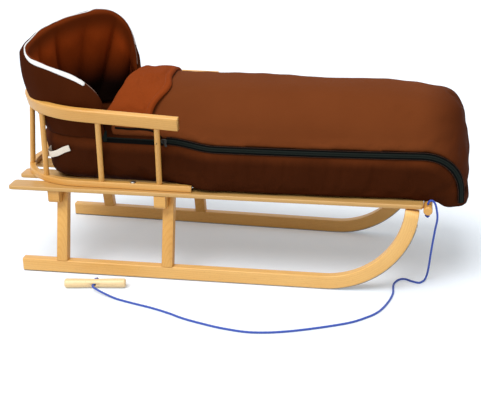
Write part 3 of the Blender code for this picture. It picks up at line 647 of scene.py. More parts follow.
def plain_finish(name, dark, light, roughness, metallic=0.0):
    """Moulded or plated surface with faint mottling."""
    finish = Finish(name, {"Metallic": metallic})
    mottle = finish.noise(finish.place(), 300.0, 3.0)
    finish.feed("Base Color", finish.blend(mottle, dark, light))
    finish.feed("Roughness", roughness + (mottle - 0.5) * 0.2)
    finish.relief(mottle, 0.00005, 0.5)
    return finish.material


beech = beech_finish("beech_varnished", (206, 145, 62), (230, 179, 98))
light_beech = beech_finish("beech_light", (220, 163, 82), (243, 197, 120))
seat_beech = beech_finish("beech_seat", (188, 140, 72), (214, 171, 104))
pale_beech = beech_finish("beech_pale", (238, 204, 148), (250, 226, 178))
steel = steel_finish()
brown_shell = shell_finish("brown_microfibre", (56, 20, 2), (71, 29, 5))
# The tray's lighter colour is a painted highlight along the roll under the zip.
tray_shell = shell_finish("brown_microfibre_tray", (50, 18, 2), (64, 26, 5), painted_shading=(92, 42, 14))
# The cover's darker colour is painted shade over the foot end.
rust_shell = shell_finish("rust_microfibre", (100, 49, 20), (113, 58, 26), painted_shading=(62, 23, 4))
flap_fleece = fleece_finish("rust_fleece", (120, 51, 16), (140, 62, 22))
# The lining's depths and rim colour are painted shade: black at its bottom, darker at its rim.
lining_fleece = fleece_finish("rust_fleece_lining", (126, 48, 10), (152, 62, 16), (0.365, 0.470),
                              (104, 42, 10))
zip_tape = tape_finish("zip_tape", (4, 4, 4), (9, 10, 9), gloss=0.05)
zip_lips = tape_finish("zip_lips", (14, 19, 16), (24, 31, 27), rib=0.0011, gloss=0.10)
piping_tape = tape_finish("piping_tape", (104, 78, 66), (136, 108, 94))
zip_metal = plain_finish("zip_metal", (44, 44, 42), (78, 78, 75), 0.34, metallic=1.0)
brown_thread = plain_finish("brown_thread", (86, 44, 22), (116, 66, 36), 0.7)
rust_thread = plain_finish("rust_thread", (122, 56, 24), (150, 78, 38), 0.7)
webbing = tape_finish("webbing_natural", (206, 192, 172), (240, 232, 218), rib=0.0014)
reflective = tape_finish("reflective_tape", (214, 212, 210), (240, 238, 236), rib=0.0009)
braid = cord_finish()


# Camera
camera = linked("camera", bpy.data.cameras.new("camera"))
camera.location = CAMERA_PLACE
camera.rotation_euler = [math.radians(turn) for turn in CAMERA_TURN]
camera.data.lens = FOCAL_LENGTH
camera.data.sensor_width = 36
bpy.context.scene.camera = camera


# Pull cord, its knots and its handle
def cord_path():
    """The cord's centre line, about a millimetre from point to point, never below its lie."""
    lying = [(x, y, CORD_LIE) for x, y in CORD_LYING]
    curve = smooth_curve([*CORD_HANGING, *lying, *CORD_END])
    path = resample(curve, round(length_of(curve) / 0.001) + 1)
    path[:, 2] = np.maximum(path[:, 2], CORD_LIE)
    return path


def cord_directions(path):
    """Across and up along the cord: square to y beside the bar, square to z where it lies."""
    landed = np.argmin(np.linalg.norm(path - np.array([*CORD_LYING[0], CORD_LIE]), axis=1))
    share = ramp(np.arange(len(path)), landed - 8, landed + 22)[:, None]
    reference = unit(np.array([0, 1.0, 0]) * (1 - share) + np.array([0, 0, 1.0]) * share)
    return directions(path, reference)


def braided_tube(name, path, across, up, diameter):
    """A tube whose radius swells by the crests of strands that cross round it.

    It is r - d + d max(sin(4a + ks), sin(4a - ks)) at angle a and arc length s.
    """
    steps = distances(path)
    angle = np.linspace(0, 2 * math.pi, 20, endpoint=False)[None, :]
    wave = 2 * math.pi / BRAID_PITCH * steps[:, None]
    crest = np.maximum(np.sin(BRAID_STRANDS * angle + wave), np.sin(BRAID_STRANDS * angle - wave))
    radius = diameter / 2 + BRAID_DEPTH * (crest - 1)
    profile = radius[..., None] * circle(2.0, 20)
    return carried(name, path, across, up, profile, uv_size=(steps[-1], 1.0))


def knot(name, centre, axis, diameter, strand):
    """A pulled overhand knot: a trefoil round its axis, with a round strand.

    Across the axis it is sin t + 2 sin 2t and cos t - 2 cos 2t, along it -2 sin 3t.
    """
    t = np.linspace(0, 2 * math.pi, 121)[:-1]
    ring = np.stack([np.sin(t) + 2 * np.sin(2 * t), np.cos(t) - 2 * np.cos(2 * t), -2 * np.sin(3 * t)], 1)
    ring *= (diameter - strand) / 6
    axis = unit(np.asarray(axis, float))
    side = unit(np.cross(axis, np.array([0.31, 0.52, 0.79])))
    other = np.cross(axis, side)
    line = centre + ring @ np.stack([side, other, axis])
    along = unit(np.roll(line, -1, axis=0) - np.roll(line, 1, axis=0))
    across = unit(np.cross(along, line - centre))
    up = np.cross(across, along)
    loop = np.append(np.arange(len(t)), 0)
    piece = carried(name, line[loop], across[loop], up[loop], circle(strand), (0.06, 1.0), cap=False)
    modify(piece, "WELD", merge_threshold=0.00001)
    return bake_modifiers(piece)


path = cord_path()
across, up = cord_directions(path)
pull_cord = braided_tube("pull_cord_braided", path, across, up, CORD_DIAMETER)
finish_piece(pull_cord, braid, "cord", "pull_cord")
knots = []
for node, axis in (("cord_knot_bar", (0, 0, 1)), ("cord_knot_handle", path[-1] - path[-20])):
    low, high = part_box(node)
    centre = (np.array(low) + np.array(high)) / 2
    tied = knot(node + "_tied", centre, axis, KNOT_DIAMETER, CORD_DIAMETER * 0.92)
    knots.append(finish_piece(tied, braid, "cord", node))


# Wood: each piece gets the direction of its grain
def runner_grain(points):
    """Along the runner: x as far as the bend, then the arc; the third is the depth from the inner side."""
    x, y, z = points.T
    bent = x > RUNNER_BEND_X
    turn = np.arctan2(x - RUNNER_BEND_X, RUNNER_BEND_RADIUS - z)
    depth = np.hypot(x - RUNNER_BEND_X, RUNNER_BEND_RADIUS - z)
    along = np.where(bent, RUNNER_BEND_X + RUNNER_BEND_RADIUS * turn, x)
    return np.stack([along, y, np.where(bent, depth, RUNNER_BEND_RADIUS - z)], 1)


def rail_grain(centre_x, radius):
    """Along a rail: x on the arms, and round the half circle behind them; the second is the depth."""
    def grain(points):
        x, y, z = points.T
        behind = x < centre_x
        turn = np.arctan2(centre_x - x, np.abs(y))
        along = np.where(behind, centre_x - radius * turn, x) * np.where(y < 0, -1.0, 1.0)
        depth = np.where(behind, np.hypot(x - centre_x, y), np.abs(y))
        return np.stack([along, depth, z], 1)
    return grain


def axis_grain(order, turn=0.0):
    """Grain along one axis: order lists the axes for along, across and through."""
    def grain(points):
        x, y, z = points.T
        c, s = math.cos(turn), math.sin(turn)
        return np.stack([c * x + s * y, c * y - s * x, z], 1)[:, order]
    return grain


WOOD = (
    # start of the nodes' names, grain, how far the pith lies below the board, finish
    ("runner_right", runner_grain, 0.030, light_beech),
    ("runner_left", runner_grain, 0.034, light_beech),
    ("seat_slat", axis_grain((0, 1, 2)), 0.055, seat_beech),
    ("cross_beam", axis_grain((1, 0, 2)), 0.040, beech),
    ("post", axis_grain((2, 0, 1)), 0.045, beech),
    ("front_bar", axis_grain((1, 0, 2)), 0.020, beech),
    ("backrest_rail_lower", rail_grain(LOWER_RAIL_CENTRE_X, LOWER_RAIL_RADIUS), 0.040, beech),
    ("backrest_rail_upper", rail_grain(UPPER_RAIL_CENTRE_X, UPPER_RAIL_RADIUS), 0.050, beech),
    ("spindle", axis_grain((2, 0, 1)), 0.018, beech),
    ("pull_handle", axis_grain((0, 1, 2), math.radians(HANDLE_TURN)), 0.012, pale_beech),
)


def wooden(node, grain, pith, finish, number):
    """A CAD node with soft edges and its grain, cut from its own place in the plank."""
    piece = smoothed(merged_copy(node + "_wood", node))
    modify(piece, "WEIGHTED_NORMAL", keep_sharp=True)
    values = grain(points_of(piece))
    middle = values.mean(axis=0)
    values[:, 0] += 1.7 * number
    values[:, 1] += 0.013 * math.sin(2.3 * number) - middle[1]
    values[:, 2] += pith + 0.006 * math.sin(4.1 * number) - middle[2]
    store(piece, "grain", values)
    return finish_piece(piece, finish, "beech", node)


wood_pieces = {}
for start, grain, pith, finish in WOOD:
    for node in sorted(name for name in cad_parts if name.startswith(start)):
        if "sole" not in node:
            wood_pieces[node] = wooden(node, grain, pith, finish, len(wood_pieces))

for node in ("runner_sole_right", "runner_sole_left", "backrest_bolt_right", "backrest_bolt_left"):
    finish_piece(smoothed(merged_copy(node + "_steel", node)), steel, "steel", node)

knots + [wood_pieces["pull_handle"]]


# Foot muff
tray_low, tray_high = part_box("muff_tray")
MUFF_TAIL_X, MUFF_FOOT_X = tray_low.x, tray_high.x
MUFF_HALF_WIDTH = -tray_low.y


def half_width(x):
    """The muff's greatest half width less a square of the distance from its widest place."""
    return MUFF_HALF_WIDTH - MUFF_TAPER * (np.asarray(x) - MUFF_WIDEST_X) ** 2


fall_start_x = MUFF_FOOT_X - SEAM_FALL[0]
fall_end_x = MUFF_FOOT_X - SEAM_FALL[1]


def seam_z(x):
    """Height of the seam: it rises toward the rear and falls round a quarter superellipse at the foot."""
    rear = SEAM_REAR_RISE * (1 - ramp(x, SEAM_REAR_XS[1], SEAM_REAR_XS[0]))
    share = np.clip((np.asarray(x, float) - fall_start_x) / (fall_end_x - fall_start_x), 0, 1)
    fall = 1 - (1 - share ** SEAM_FALL_POWER) ** (1 / SEAM_FALL_POWER)
    return SEAM_Z + rear - SEAM_FOOT_DROP * fall


def plan_y(x):
    """Half width of the muff at the seam: straight sides between two superelliptic ends."""
    x = np.asarray(x, float)
    tail = np.clip(MUFF_TAIL_X + TAIL_ROUND - x, 0, TAIL_ROUND) / TAIL_ROUND
    foot = np.clip(x - MUFF_FOOT_X + FOOT_ROUND, 0, FOOT_ROUND) / FOOT_ROUND
    rear, front = PLAN_POWERS
    return half_width(x) * (1 - tail ** rear) ** (1 / rear) * (1 - foot ** front) ** (1 / front)


def seam_distance(x, z):
    """Distance in x and z from the seam's line, positive above it or ahead of its fall."""
    line_x = np.concatenate([np.linspace(MUFF_TAIL_X, fall_start_x, 60),
                             np.linspace(fall_start_x, fall_end_x, 60)[1:], [MUFF_FOOT_X]])
    line_z = seam_z(line_x)
    apart = np.hypot(x[:, None] - line_x[None, :], z[:, None] - line_z[None, :])
    inside = (x > fall_end_x) & (z > line_z[-1])
    return np.where((z > seam_z(x)) | inside, 1.0, -1.0) * apart.min(axis=1)


def soft_copy(name, node, voxel, calm=6):
    """A CAD soft solid remeshed into even quads and smoothed a little."""
    piece = merged_copy(name, node)
    modify(piece, "REMESH", mode="VOXEL", voxel_size=voxel)
    modify(piece, "CORRECTIVE_SMOOTH", iterations=calm, use_only_smooth=True)
    return bake_modifiers(piece)


def inflate(piece, pressure, growth, cap, held):
    """Cloth with air in it: the held vertices stay, and none moves further than cap."""
    scene = bpy.context.scene
    rest = points_of(piece)
    group = piece.vertex_groups.new(name="held")
    group.add(np.flatnonzero(held).tolist(), 1.0, "REPLACE")
    cloth = modify(piece, "CLOTH")
    set_all(cloth.settings, {"quality": 4, "mass": 0.2, "use_pressure": True,
                             "uniform_pressure_force": pressure, "shrink_min": -growth,
                             "tension_stiffness": 15, "compression_stiffness": 15,
                             "bending_stiffness": 0.8, "vertex_group_mass": "held"})
    cloth.settings.effector_weights.gravity = 0
    cloth.point_cache.frame_start = 1
    cloth.point_cache.frame_end = 20
    for step in range(1, 21):
        scene.frame_set(step)
    swollen = piece.evaluated_get(bpy.context.evaluated_depsgraph_get())
    move = vectors(swollen.data.vertices) - rest
    size = np.linalg.norm(move, axis=1, keepdims=True)
    piece.modifiers.remove(cloth)
    piece.vertex_groups.clear()
    scene.frame_set(1)
    place_vertices(piece, rest + move * np.minimum(1, cap / np.maximum(size, 1e-9)))


def shift_along_normals(piece, amount):
    """Moves each vertex out by its amount, a function of x, y, z and the normals."""
    points = points_of(piece)
    out = vectors(piece.data.vertex_normals, "vector")
    place_vertices(piece, points + out * amount(*points.T, out)[:, None])


def subdivided(piece):
    """One level of subdivision, taken into the mesh."""
    modify(piece, "SUBSURF", levels=1, render_levels=1)
    bake_modifiers(piece).data.shade_smooth()


def near_seam(points, reach):
    """Which points lie less than reach above or below the seam."""
    return np.abs(points[:, 2] - seam_z(points[:, 0])) < reach


tray = soft_copy("muff_tray_padded", "muff_tray", TRAY_GRID, 3)
points = points_of(tray)
inflate(tray, 3.0, 0.02, 0.004, near_seam(points, 0.012) | (points[:, 2] < SLAT_TOP_Z + 0.008))


def tray_billows(x, y, z, out):
    """A roll under the zip, slow waves along the sides and tucks where the cloth is gathered."""
    below = -seam_distance(x, z)
    side = np.clip(np.abs(out[:, 1]) * 1.3, 0, 1) ** 2
    roll = 0.0030 * bump(below, 0.021, 0.011) * (0.75 + 0.25 * waver(x * 34, z * 0, 2.4))
    slow = 0.0024 * waver(x * 24, z * 26, 1.3) * side * ramp(below, 0.02, 0.05) * ramp(z, 0.206, 0.225)
    tuck = -0.0012 * bump(below, 0.030, 0.012) * (0.4 + 0.6 * waver(x * 85, z * 60, 2.1)) * side
    return roll + slow + tuck


shift_along_normals(tray, tray_billows)
points = points_of(tray)
x, y, z = points.T    # these are views, so the points change with them
x -= 0.006 * ramp(z, 0.245, 0.290) * ramp(x, -0.36, -0.41)
y *= 1 + 0.13 * bump(x, -0.082, 0.040) * ramp(z, 0.255, 0.215)
over_bar = ramp(x, 0.380, 0.402) * ramp(x, 0.485, 0.455)
z -= 0.0045 * over_bar * ramp(np.abs(y), 0.098, 0.116) * ramp(z, 0.236, 0.212)
place_vertices(tray, points)
subdivided(tray)
x, y, z = points_of(tray).T
# Painted highlight: a lighter band along the roll under the zip, faded toward the foot, which lies in
# shade.
painted_shading = 0.85 * (1 - ramp(-seam_distance(x, z), 0.012, 0.036)) * (0.75 + 0.25 * waver(x * 22, z * 30, 1.1))
store(tray, "painted_shading", np.repeat(painted_shading * (1 - 0.8 * ramp(x, 0.40, 0.45)), 3))
finish_piece(tray, tray_shell, "brown_shell", "muff_tray")

cover = soft_copy("muff_cover_padded", "muff_cover", COVER_GRID)
points = points_of(cover)
inflate(cover, 3.0, 0.02, 0.0035, near_seam(points, 0.012))
cover_low_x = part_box("muff_cover")[0].x


def cover_creases(x, y, z, out):
    """A roll over the zip, puckers, a scalloped far shoulder, folds at the foot, a dent at the rail."""
    up = seam_distance(x, z)
    roll = 0.0032 * bump(up, 0.020, 0.009) * (0.8 + 0.2 * waver(x * 40, y * 0, 0.9))
    puckers = -0.0012 * bump(up, 0.020, 0.014) * (0.5 + 0.5 * waver(x * 120, up * 30, 0.7))
    shoulder = 0.0020 * waver(x * 95, y * 20, 1.9) * ramp(y, 0.03, 0.10) * ramp(z, 0.36, 0.40)
    foot = ramp(x, 0.40, 0.47)
    folds = 0.0022 * waver(y * 42, z * 30, 2.6) * foot + 0.0016 * waver(y * 30, z * 90, 1.5) * foot
    dent = -0.0045 * bump(x, -0.085, 0.030) * bump(z, 0.375, 0.03) * ramp(-y, 0.10, 0.14)
    soft = 0.0020 * waver(x * 15, y * 18, 0.4) * ramp(z, 0.34, 0.40)
    return roll + puckers + shoulder + folds + dent + soft


shift_along_normals(cover, cover_creases)
points = points_of(cover)
x, y, z = points.T
x += 0.014 * ramp(z, 0.375, 0.415) * ramp(x, -0.17, cover_low_x)
y *= 1 - 0.27 * ramp(x, 0.375, 0.520) ** 1.3 * ramp(seam_distance(x, z), 0.016, 0.070)
x -= 0.007 * ramp(x, 0.46, 0.507)
place_vertices(cover, points)
subdivided(cover)
# Painted shade: the cover darkens over the foot end, which faces away from the light.
store(cover, "painted_shading", np.repeat(0.85 * ramp(points_of(cover)[:, 0], 0.385, 0.495), 3))
finish_piece(cover, rust_shell, "rust_shell", "muff_cover")


# Flap: the cover's rear end, turned back over it round a soft fold, lining outward
FLAP_HEM_X = -0.157
FLAP_FOLD_X = -0.2595
FLAP_CROWN_FORWARD = 0.024     # the fold lies this much further forward at the crown
FLAP_CORNER_BACK = 0.004
FLAP_HEM_SIDE = 0.016          # the hem lies this much further forward half way up the right side
FLAP_HEM_FAR = 0.007           # and this much further back on the left
FLAP_MIDDLE = 0.0068           # the layer's middle over the cover
FLAP_FOLD_RADIUS = 0.0118
FLAP_HALF_WALL = 0.0058
FLAP_INNER_X = -0.228
FLAP_HALF_ANGLE = math.radians(70.0)
FLAP_HEM_BACK = 0.010          # the hem lies this much further back at its two ends
COVER_TOP_Z = 0.421


def cover_section(x, angle):
    """The cover's outer face across: y = w |sin a|^(2/p), z = base + reach |cos a|^(2/p)."""
    base = seam_z(x) + SEAM_LIP
    power = 2 / CROWN_POWER
    y = np.sign(np.sin(angle)) * np.abs(np.sin(angle)) ** power * half_width(x)
    return np.stack([x, y, base + (COVER_TOP_Z - base) * np.abs(np.cos(angle)) ** power], -1)


def flap_layer(rows=96):
    """The folded layer: a line from the hem back, round the fold and inside, with a wall about it.

    The line is given as x and as height over the cover's face. At each angle
    across the cover the wall's two faces are line + and - normal * thickness.
    """
    turn = np.linspace(0, math.pi, 17)[1:]
    line_x = np.concatenate([np.linspace(FLAP_HEM_X, FLAP_FOLD_X, 40),
                             FLAP_FOLD_X - FLAP_FOLD_RADIUS * np.sin(turn),
                             np.linspace(FLAP_FOLD_X, FLAP_INNER_X, 12)[1:]])
    drop = np.concatenate([np.zeros(40), 1 - np.cos(turn), np.full(11, 2.0)])
    line_h = FLAP_MIDDLE - FLAP_FOLD_RADIUS * drop
    steps = np.hypot(np.gradient(line_x), np.gradient(line_h))
    normal_x, normal_h = np.gradient(line_h) / steps, -np.gradient(line_x) / steps
    run = np.cumsum(steps) - steps[0]
    share = np.linspace(-1, 1, rows)[:, None]
    across = round_off(np.abs(share), 0.965, 1.0, 0.0004)
    round_end = round_off(np.minimum(run, run[-1] - run), FLAP_HALF_WALL, 0.0, 0.0004)
    sewn = 1 - 0.24 * bump(run, 0.0125, 0.0028)
    wall = FLAP_HALF_WALL * round_end * sewn * across
    folds = 0.0015 * waver(share * 9 + run * 25, run * 55, 1.2) * ramp(run, 0.0, 0.03)
    angle = share * FLAP_HALF_ANGLE
    forward = FLAP_CROWN_FORWARD * (1 - (angle / FLAP_HALF_ANGLE) ** 4) - FLAP_CORNER_BACK
    rear = ramp(line_x, -0.185, FLAP_FOLD_X)
    hem = (FLAP_HEM_BACK * ramp(np.abs(angle), 0.60, 1.20) - FLAP_HEM_SIDE * bump(angle, -0.45, 0.30)
           + FLAP_HEM_FAR * ramp(angle, -0.10, 0.50))
    back = hem * (1 - ramp(run, 0.0, 0.07))

    def face(side):
        x = line_x + side * normal_x * wall + forward * rear - back
        height = line_h + side * normal_h * wall + folds
        x, spread = np.broadcast_arrays(x, angle)
        base = cover_section(x, spread)
        along = cover_section(x, spread + 0.01) - cover_section(x, spread - 0.01)
        out = unit(np.stack([np.zeros_like(x), -along[..., 2], along[..., 1]], -1))
        out *= np.sign(out[..., 2].mean())
        return base + out * height[..., None]
    outer = face(1)
    loop = np.concatenate([outer, face(-1)[:, ::-1]], axis=1)
    return grid_piece("muff_flap_padded", loop, wrap=True, cap=True), outer


flap, flap_face = flap_layer()
points = points_of(flap)
inflate(flap, 2.0, 0.015, 0.0025, points[:, 0] > FLAP_HEM_X - 0.015)
subdivided(flap)
finish_piece(flap, flap_fleece, "rust_fleece", "muff_flap")
hem_line = flap_face[3:-3, 5]
hem_out = unit((hem_line - np.array([0, 0, 0.30])) * np.array([0, 1.0, 1.0]))
finish_piece(stitches("flap_hem_stitches", resample(hem_line + hem_out * 0.0004, 400),
                      resample(hem_out, 400)), rust_thread, "rust_fleece")


# Hood: one wall carried from its foot on the tray up to a slanting rim
HOOD_STRAIGHT = 0.28
HOOD_HALF_WALL = 0.0085
HOOD_BELLY = 0.014
HOOD_SWELL = 0.015             # of the lining between its seams
HOOD_TUCK = 0.004
HOOD_CHANNELS = (-0.80, -0.56, -0.335, -0.10, 0.09, 0.335, 0.56, 0.80)   # shares of the rim
HOOD_COLUMNS = 221
HOOD_FRONT_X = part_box("muff_hood")[1].x
HOOD_RIM = (
    # x, y, z from the right front corner round the rear to the left front corner
    (-0.276, -0.150, 0.376), (-0.292, -0.153, 0.411), (-0.325, -0.153, 0.438),
    (-0.380, -0.150, 0.459), (-0.428, -0.143, 0.476), (-0.459, -0.118, 0.492),
    (-0.465, -0.060, 0.504), (-0.448, 0.000, 0.521), (-0.410, 0.055, 0.536),
    (-0.368, 0.098, 0.542), (-0.332, 0.128, 0.533), (-0.303, 0.146, 0.495),
    (-0.291, 0.153, 0.440), (-0.285, 0.153, 0.385),
)


def hood_foot():
    """Where the hood stands: a half superellipse behind two straight sides, on the tray's rim."""
    s = np.linspace(-1, 1, 401)
    straight = np.clip(np.abs(s) - 1 + HOOD_STRAIGHT, 0, None) / HOOD_STRAIGHT
    turn = math.pi / 2 * (1 - np.minimum(1, np.abs(s) / (1 - HOOD_STRAIGHT)))
    start = MUFF_TAIL_X + TAIL_ROUND
    tail = MUFF_TAIL_X + 0.001
    power = 2 / PLAN_POWERS[0]
    x = start - (start - tail) * np.sin(turn) ** power + straight * (HOOD_FRONT_X - start)
    y = np.sign(s) * np.cos(turn) ** power * (half_width(x) - 0.006)
    return resample(np.stack([x, y, seam_z(x) + 0.0005], 1), HOOD_COLUMNS)


hood_base = hood_foot()
hood_rim = resample(smooth_curve(HOOD_RIM), HOOD_COLUMNS)


def hood_middle(t):
    """Middle of the wall at shares t of its height: foot to rim, with a belly outwards.

    middle = foot + (rim - foot) t + out * belly * sin(pi t^1.15)
    """
    t = np.asarray(t)[None, :, None]
    along = unit(np.gradient(hood_base, axis=0))
    out = np.stack([along[:, 1], -along[:, 0], np.zeros(len(along))], 1)
    out *= np.sign((out * (hood_base - np.array([-0.30, 0, 0]))).sum(1, keepdims=True) + 1e-9)
    straight = hood_base[:, None] + (hood_rim - hood_base)[:, None] * t
    return straight + out[:, None] * HOOD_BELLY * np.sin(math.pi * t ** 1.15)


def wall_normals(points):
    """Outward normals of a grid of points round the hood."""
    rows = np.gradient(points, axis=0)
    columns = np.gradient(points, axis=1)
    normals = unit(np.cross(rows, columns))
    centre = np.array([-0.33, 0, 0.42])
    sign = np.sign(((points - centre) * normals).sum(-1).mean())
    return normals * sign


hood_grid = hood_middle(np.linspace(0, 1, 34))
hood_normals = wall_normals(hood_grid)
hood_rise = unit(hood_grid[:, -1:] - hood_grid[:, -3:-2])
share = np.linspace(-1, 1, HOOD_COLUMNS)[:, None]
edge = round_off(np.abs(share), 0.955, 1.0)
valleys = np.concatenate([[-1.0], HOOD_CHANNELS, [1.0]])


def hood_wall(t, inner):
    """Half the wall's thickness round the hood, by shares t of its height.

    Going down, the lining's channels near the rear middle lean to the left side.
    """
    creases = 0.0011 * waver(share * 26, t * 5, 0.9 + inner) * ramp(t, 0.0, 0.2)
    if not inner:
        return HOOD_HALF_WALL + creases
    leaning = share - 0.07 * bump(share, 0.12, 0.16) * (1 - t)
    cell = np.clip(np.searchsorted(valleys, leaning, side="right") - 1, 0, len(valleys) - 2)
    within = (leaning - valleys[cell]) / (valleys[cell + 1] - valleys[cell])
    channel = np.abs(np.sin(math.pi * within)) ** 0.85
    deep = bump(share, -0.10, 0.014) * 0.5 + 1.6 * bump(leaning, 0.09, 0.016) + bump(share, 0.56, 0.017)
    swell = HOOD_SWELL * channel * ramp(t, 0.02, 0.30) - HOOD_TUCK * deep * ramp(t, 0.10, 0.35)
    return HOOD_HALF_WALL + swell * (1 - 0.9 * ramp(t, 0.70, 1.0)) + creases


def hood_layer(name, inner):
    """One side of the wall as a closed layer: up its face, over the rim's quarter round, down the middle.

    The lining's face swells between its sewn channels, by the sine of the share
    between two valleys to the power 0.85 and HOOD_SWELL at most, less near the rim.
    """
    heights = np.linspace(0, 1, 34)
    side = -1.0 if inner else 1.0
    wall = hood_wall(heights[None, :], inner) * edge
    face = hood_grid + hood_normals * (side * wall)[..., None]
    turn = np.linspace(0, math.pi / 2, 7)[1:][None, :, None]
    outward = hood_normals[:, -1:] * side * np.cos(turn) + hood_rise * np.sin(turn)
    round_top = hood_grid[:, -1:] + outward * wall[:, -1:, None]
    back = hood_grid[:, ::-3] - hood_normals[:, ::-3] * (side * 0.0004)
    piece = grid_piece(name, np.concatenate([face, round_top, back], axis=1), wrap=True, cap=True)
    # Painted shade: toward the rim the lining's colour goes over to a darker one.
    near_rim = np.ones((HOOD_COLUMNS, len(piece.data.vertices) // HOOD_COLUMNS, 3))
    near_rim[:, :len(heights)] = ramp(heights, 0.80, 0.97)[None, :, None]
    store(piece, "painted_shading", near_rim)
    return piece


hood_shell = hood_layer("muff_hood_shell", False)
finish_piece(hood_shell, brown_shell, "brown_shell", "muff_hood")
hood_lining = hood_layer("muff_hood_lining", True)
finish_piece(hood_lining, lining_fleece, "rust_fleece", "muff_hood")


def hood_tape():
    """A tape that follows the rim: on its outer round at the sides, over its top behind.

    At each share of the rim it runs between two angles round the rim, 0 at the
    outer face and 90 degrees at the top, and it narrows to a round tip at its ends.
    """
    far = np.abs(share)
    behind = 1 - ramp(far, 0.33, 0.45)
    middle_back = 1 - ramp(far, 0.02, 0.22)
    low = 0.02 + 1.42 * behind - 0.30 * middle_back
    high = 1.42 + 0.62 * behind - 0.45 * middle_back
    width = 0.42 + 0.34 * ramp(far, 0.36, 0.50) + 0.24 * ramp(far, 0.55, 0.74)
    tip = round_off(far, TAPE_END - 0.02, TAPE_END) * width
    half = (high - low) / 2 * tip
    turn = ((low + high) / 2 + half * np.linspace(-1, 1, 9)[None, :])[..., None]
    outward = hood_normals[:, -1:] * np.cos(turn) + hood_rise * np.sin(turn)
    outer, lining = (hood_wall(np.ones((1, 1)), inner) for inner in (False, True))
    over = ramp(turn[..., 0], 1.0, 1.45)
    wall = ((outer + (np.maximum(outer, lining) - outer) * over) * edge)[..., None]
    top, bottom = (hood_grid[:, -1:] + outward * (wall + lift) for lift in (TAPE_THICKNESS, -0.0006))
    loop = np.concatenate([top, bottom[:, ::-1]], axis=1)[far[:, 0] < TAPE_END]
    piece = grid_piece("hood_reflective_tape", loop, wrap=True, cap=True, uv_size=(0.6, 0.03))
    finish_piece(piece, reflective, "brown_shell")


hood_tape()

# piping round the hood's edge, between shell and lining
rise = hood_rise[:, 0]
piping_line = hood_grid[:, -1] + rise * (HOOD_HALF_WALL * 0.97) + hood_normals[:, -1] * 0.0012
for suffix, rows in (("right", slice(6, 30)), ("left", slice(HOOD_COLUMNS - 30, HOOD_COLUMNS - 6))):
    across, up = directions(piping_line[rows], rise[rows])
    piping = carried("hood_piping_" + suffix, piping_line[rows], across, up, circle(0.0026), (0.06, 0.008))
    finish_piece(piping, piping_tape, "brown_shell")


# Zips
def zip_line(side):
    """The zip's middle line: level along the side, then equal turns round the seam's bend."""
    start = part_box("muff_zip_right")[0].x - 0.009
    turn = math.radians(ZIP_END_TURN) * np.linspace(0, 1, 60)[1:]
    bend = fall_start_x + (fall_end_x - fall_start_x) * np.sin(turn) ** (2 / SEAM_FALL_POWER)
    x = np.concatenate([np.linspace(start, fall_start_x, 90), bend])
    line = np.stack([x, side * plan_y(x), seam_z(x)], 1)
    end = line[-1] + (line[-1] - line[-2]) * 0.2
    down = end + np.linspace(0, 1, 12)[:, None] * np.array([0.0010, side * 0.0040, -0.0200])
    return np.vstack([line, down])


def zip_directions(line, side):
    """Out of the muff and up the zip's width at each point of its line.

    Out is square to the muff's outline in plan, (-dy/dx, side), and so level.
    """
    along = unit(np.gradient(line, axis=0))
    x = np.minimum(line[:, 0], fall_end_x)
    slope = (plan_y(x + 0.0005) - plan_y(x - 0.0005)) / 0.001
    out = unit(np.stack([-slope, np.full(len(x), side), np.zeros(len(x))], 1))
    up = unit(np.cross(out, along))
    return out, up * np.sign(up[0, 2])


def lips_profile(width, height, steps=9):
    """The two rolled edges that meet in the middle: each a half ellipse, over a flat back."""
    u = np.linspace(-1, 1, steps * 2 + 1)
    crest = np.sqrt(np.clip(1 - (2 * np.abs(u) - 1) ** 2, 0, 1))
    front = np.stack([0.0003 + height * crest, u * width / 2], 1)
    back = np.stack([np.full(2, -0.0003), np.array([1.0, -1.0]) * width / 2], 1)
    return np.vstack([front, back])


def laid_strip(name, line, width, side, target, thickness, finish):
    """A flat strip along a line of x and z, laid on a piece's side face."""
    line = resample(line, round(length_of(line) / 0.002))
    along = unit(np.gradient(line, axis=0))
    across = np.stack([-along[:, 2], along[:, 1], along[:, 0]], 1)
    spread = np.linspace(-width / 2, width / 2, 4)
    points = line[:, None] + across[:, None] * spread[None, :, None]
    points[..., 1] = side * 0.20
    piece = grid_piece(name, points, uv_size=(length_of(line), width))
    modify(piece, "SHRINKWRAP", target=target, wrap_method="PROJECT", use_project_y=True,
           use_positive_direction=side < 0, use_negative_direction=side > 0, offset=0.0004)
    bake_modifiers(piece)
    modify(piece, "SOLIDIFY", thickness=thickness, offset=0)
    bake_modifiers(piece).data.shade_smooth()
    return finish_piece(piece, finish, "zip")


def zip_band(kind, suffix, side, line, outward, upward, profile, finish):
    """A band that follows the zip's line, outward and upward from it."""
    out, up = zip_directions(line, side)
    middle = line + out * outward + up * upward
    piece = carried("zip_%s_%s" % (kind, suffix), middle, out, up, profile, (length_of(line), 0.03))
    finish_piece(piece, finish, "zip", "muff_zip_" + suffix)


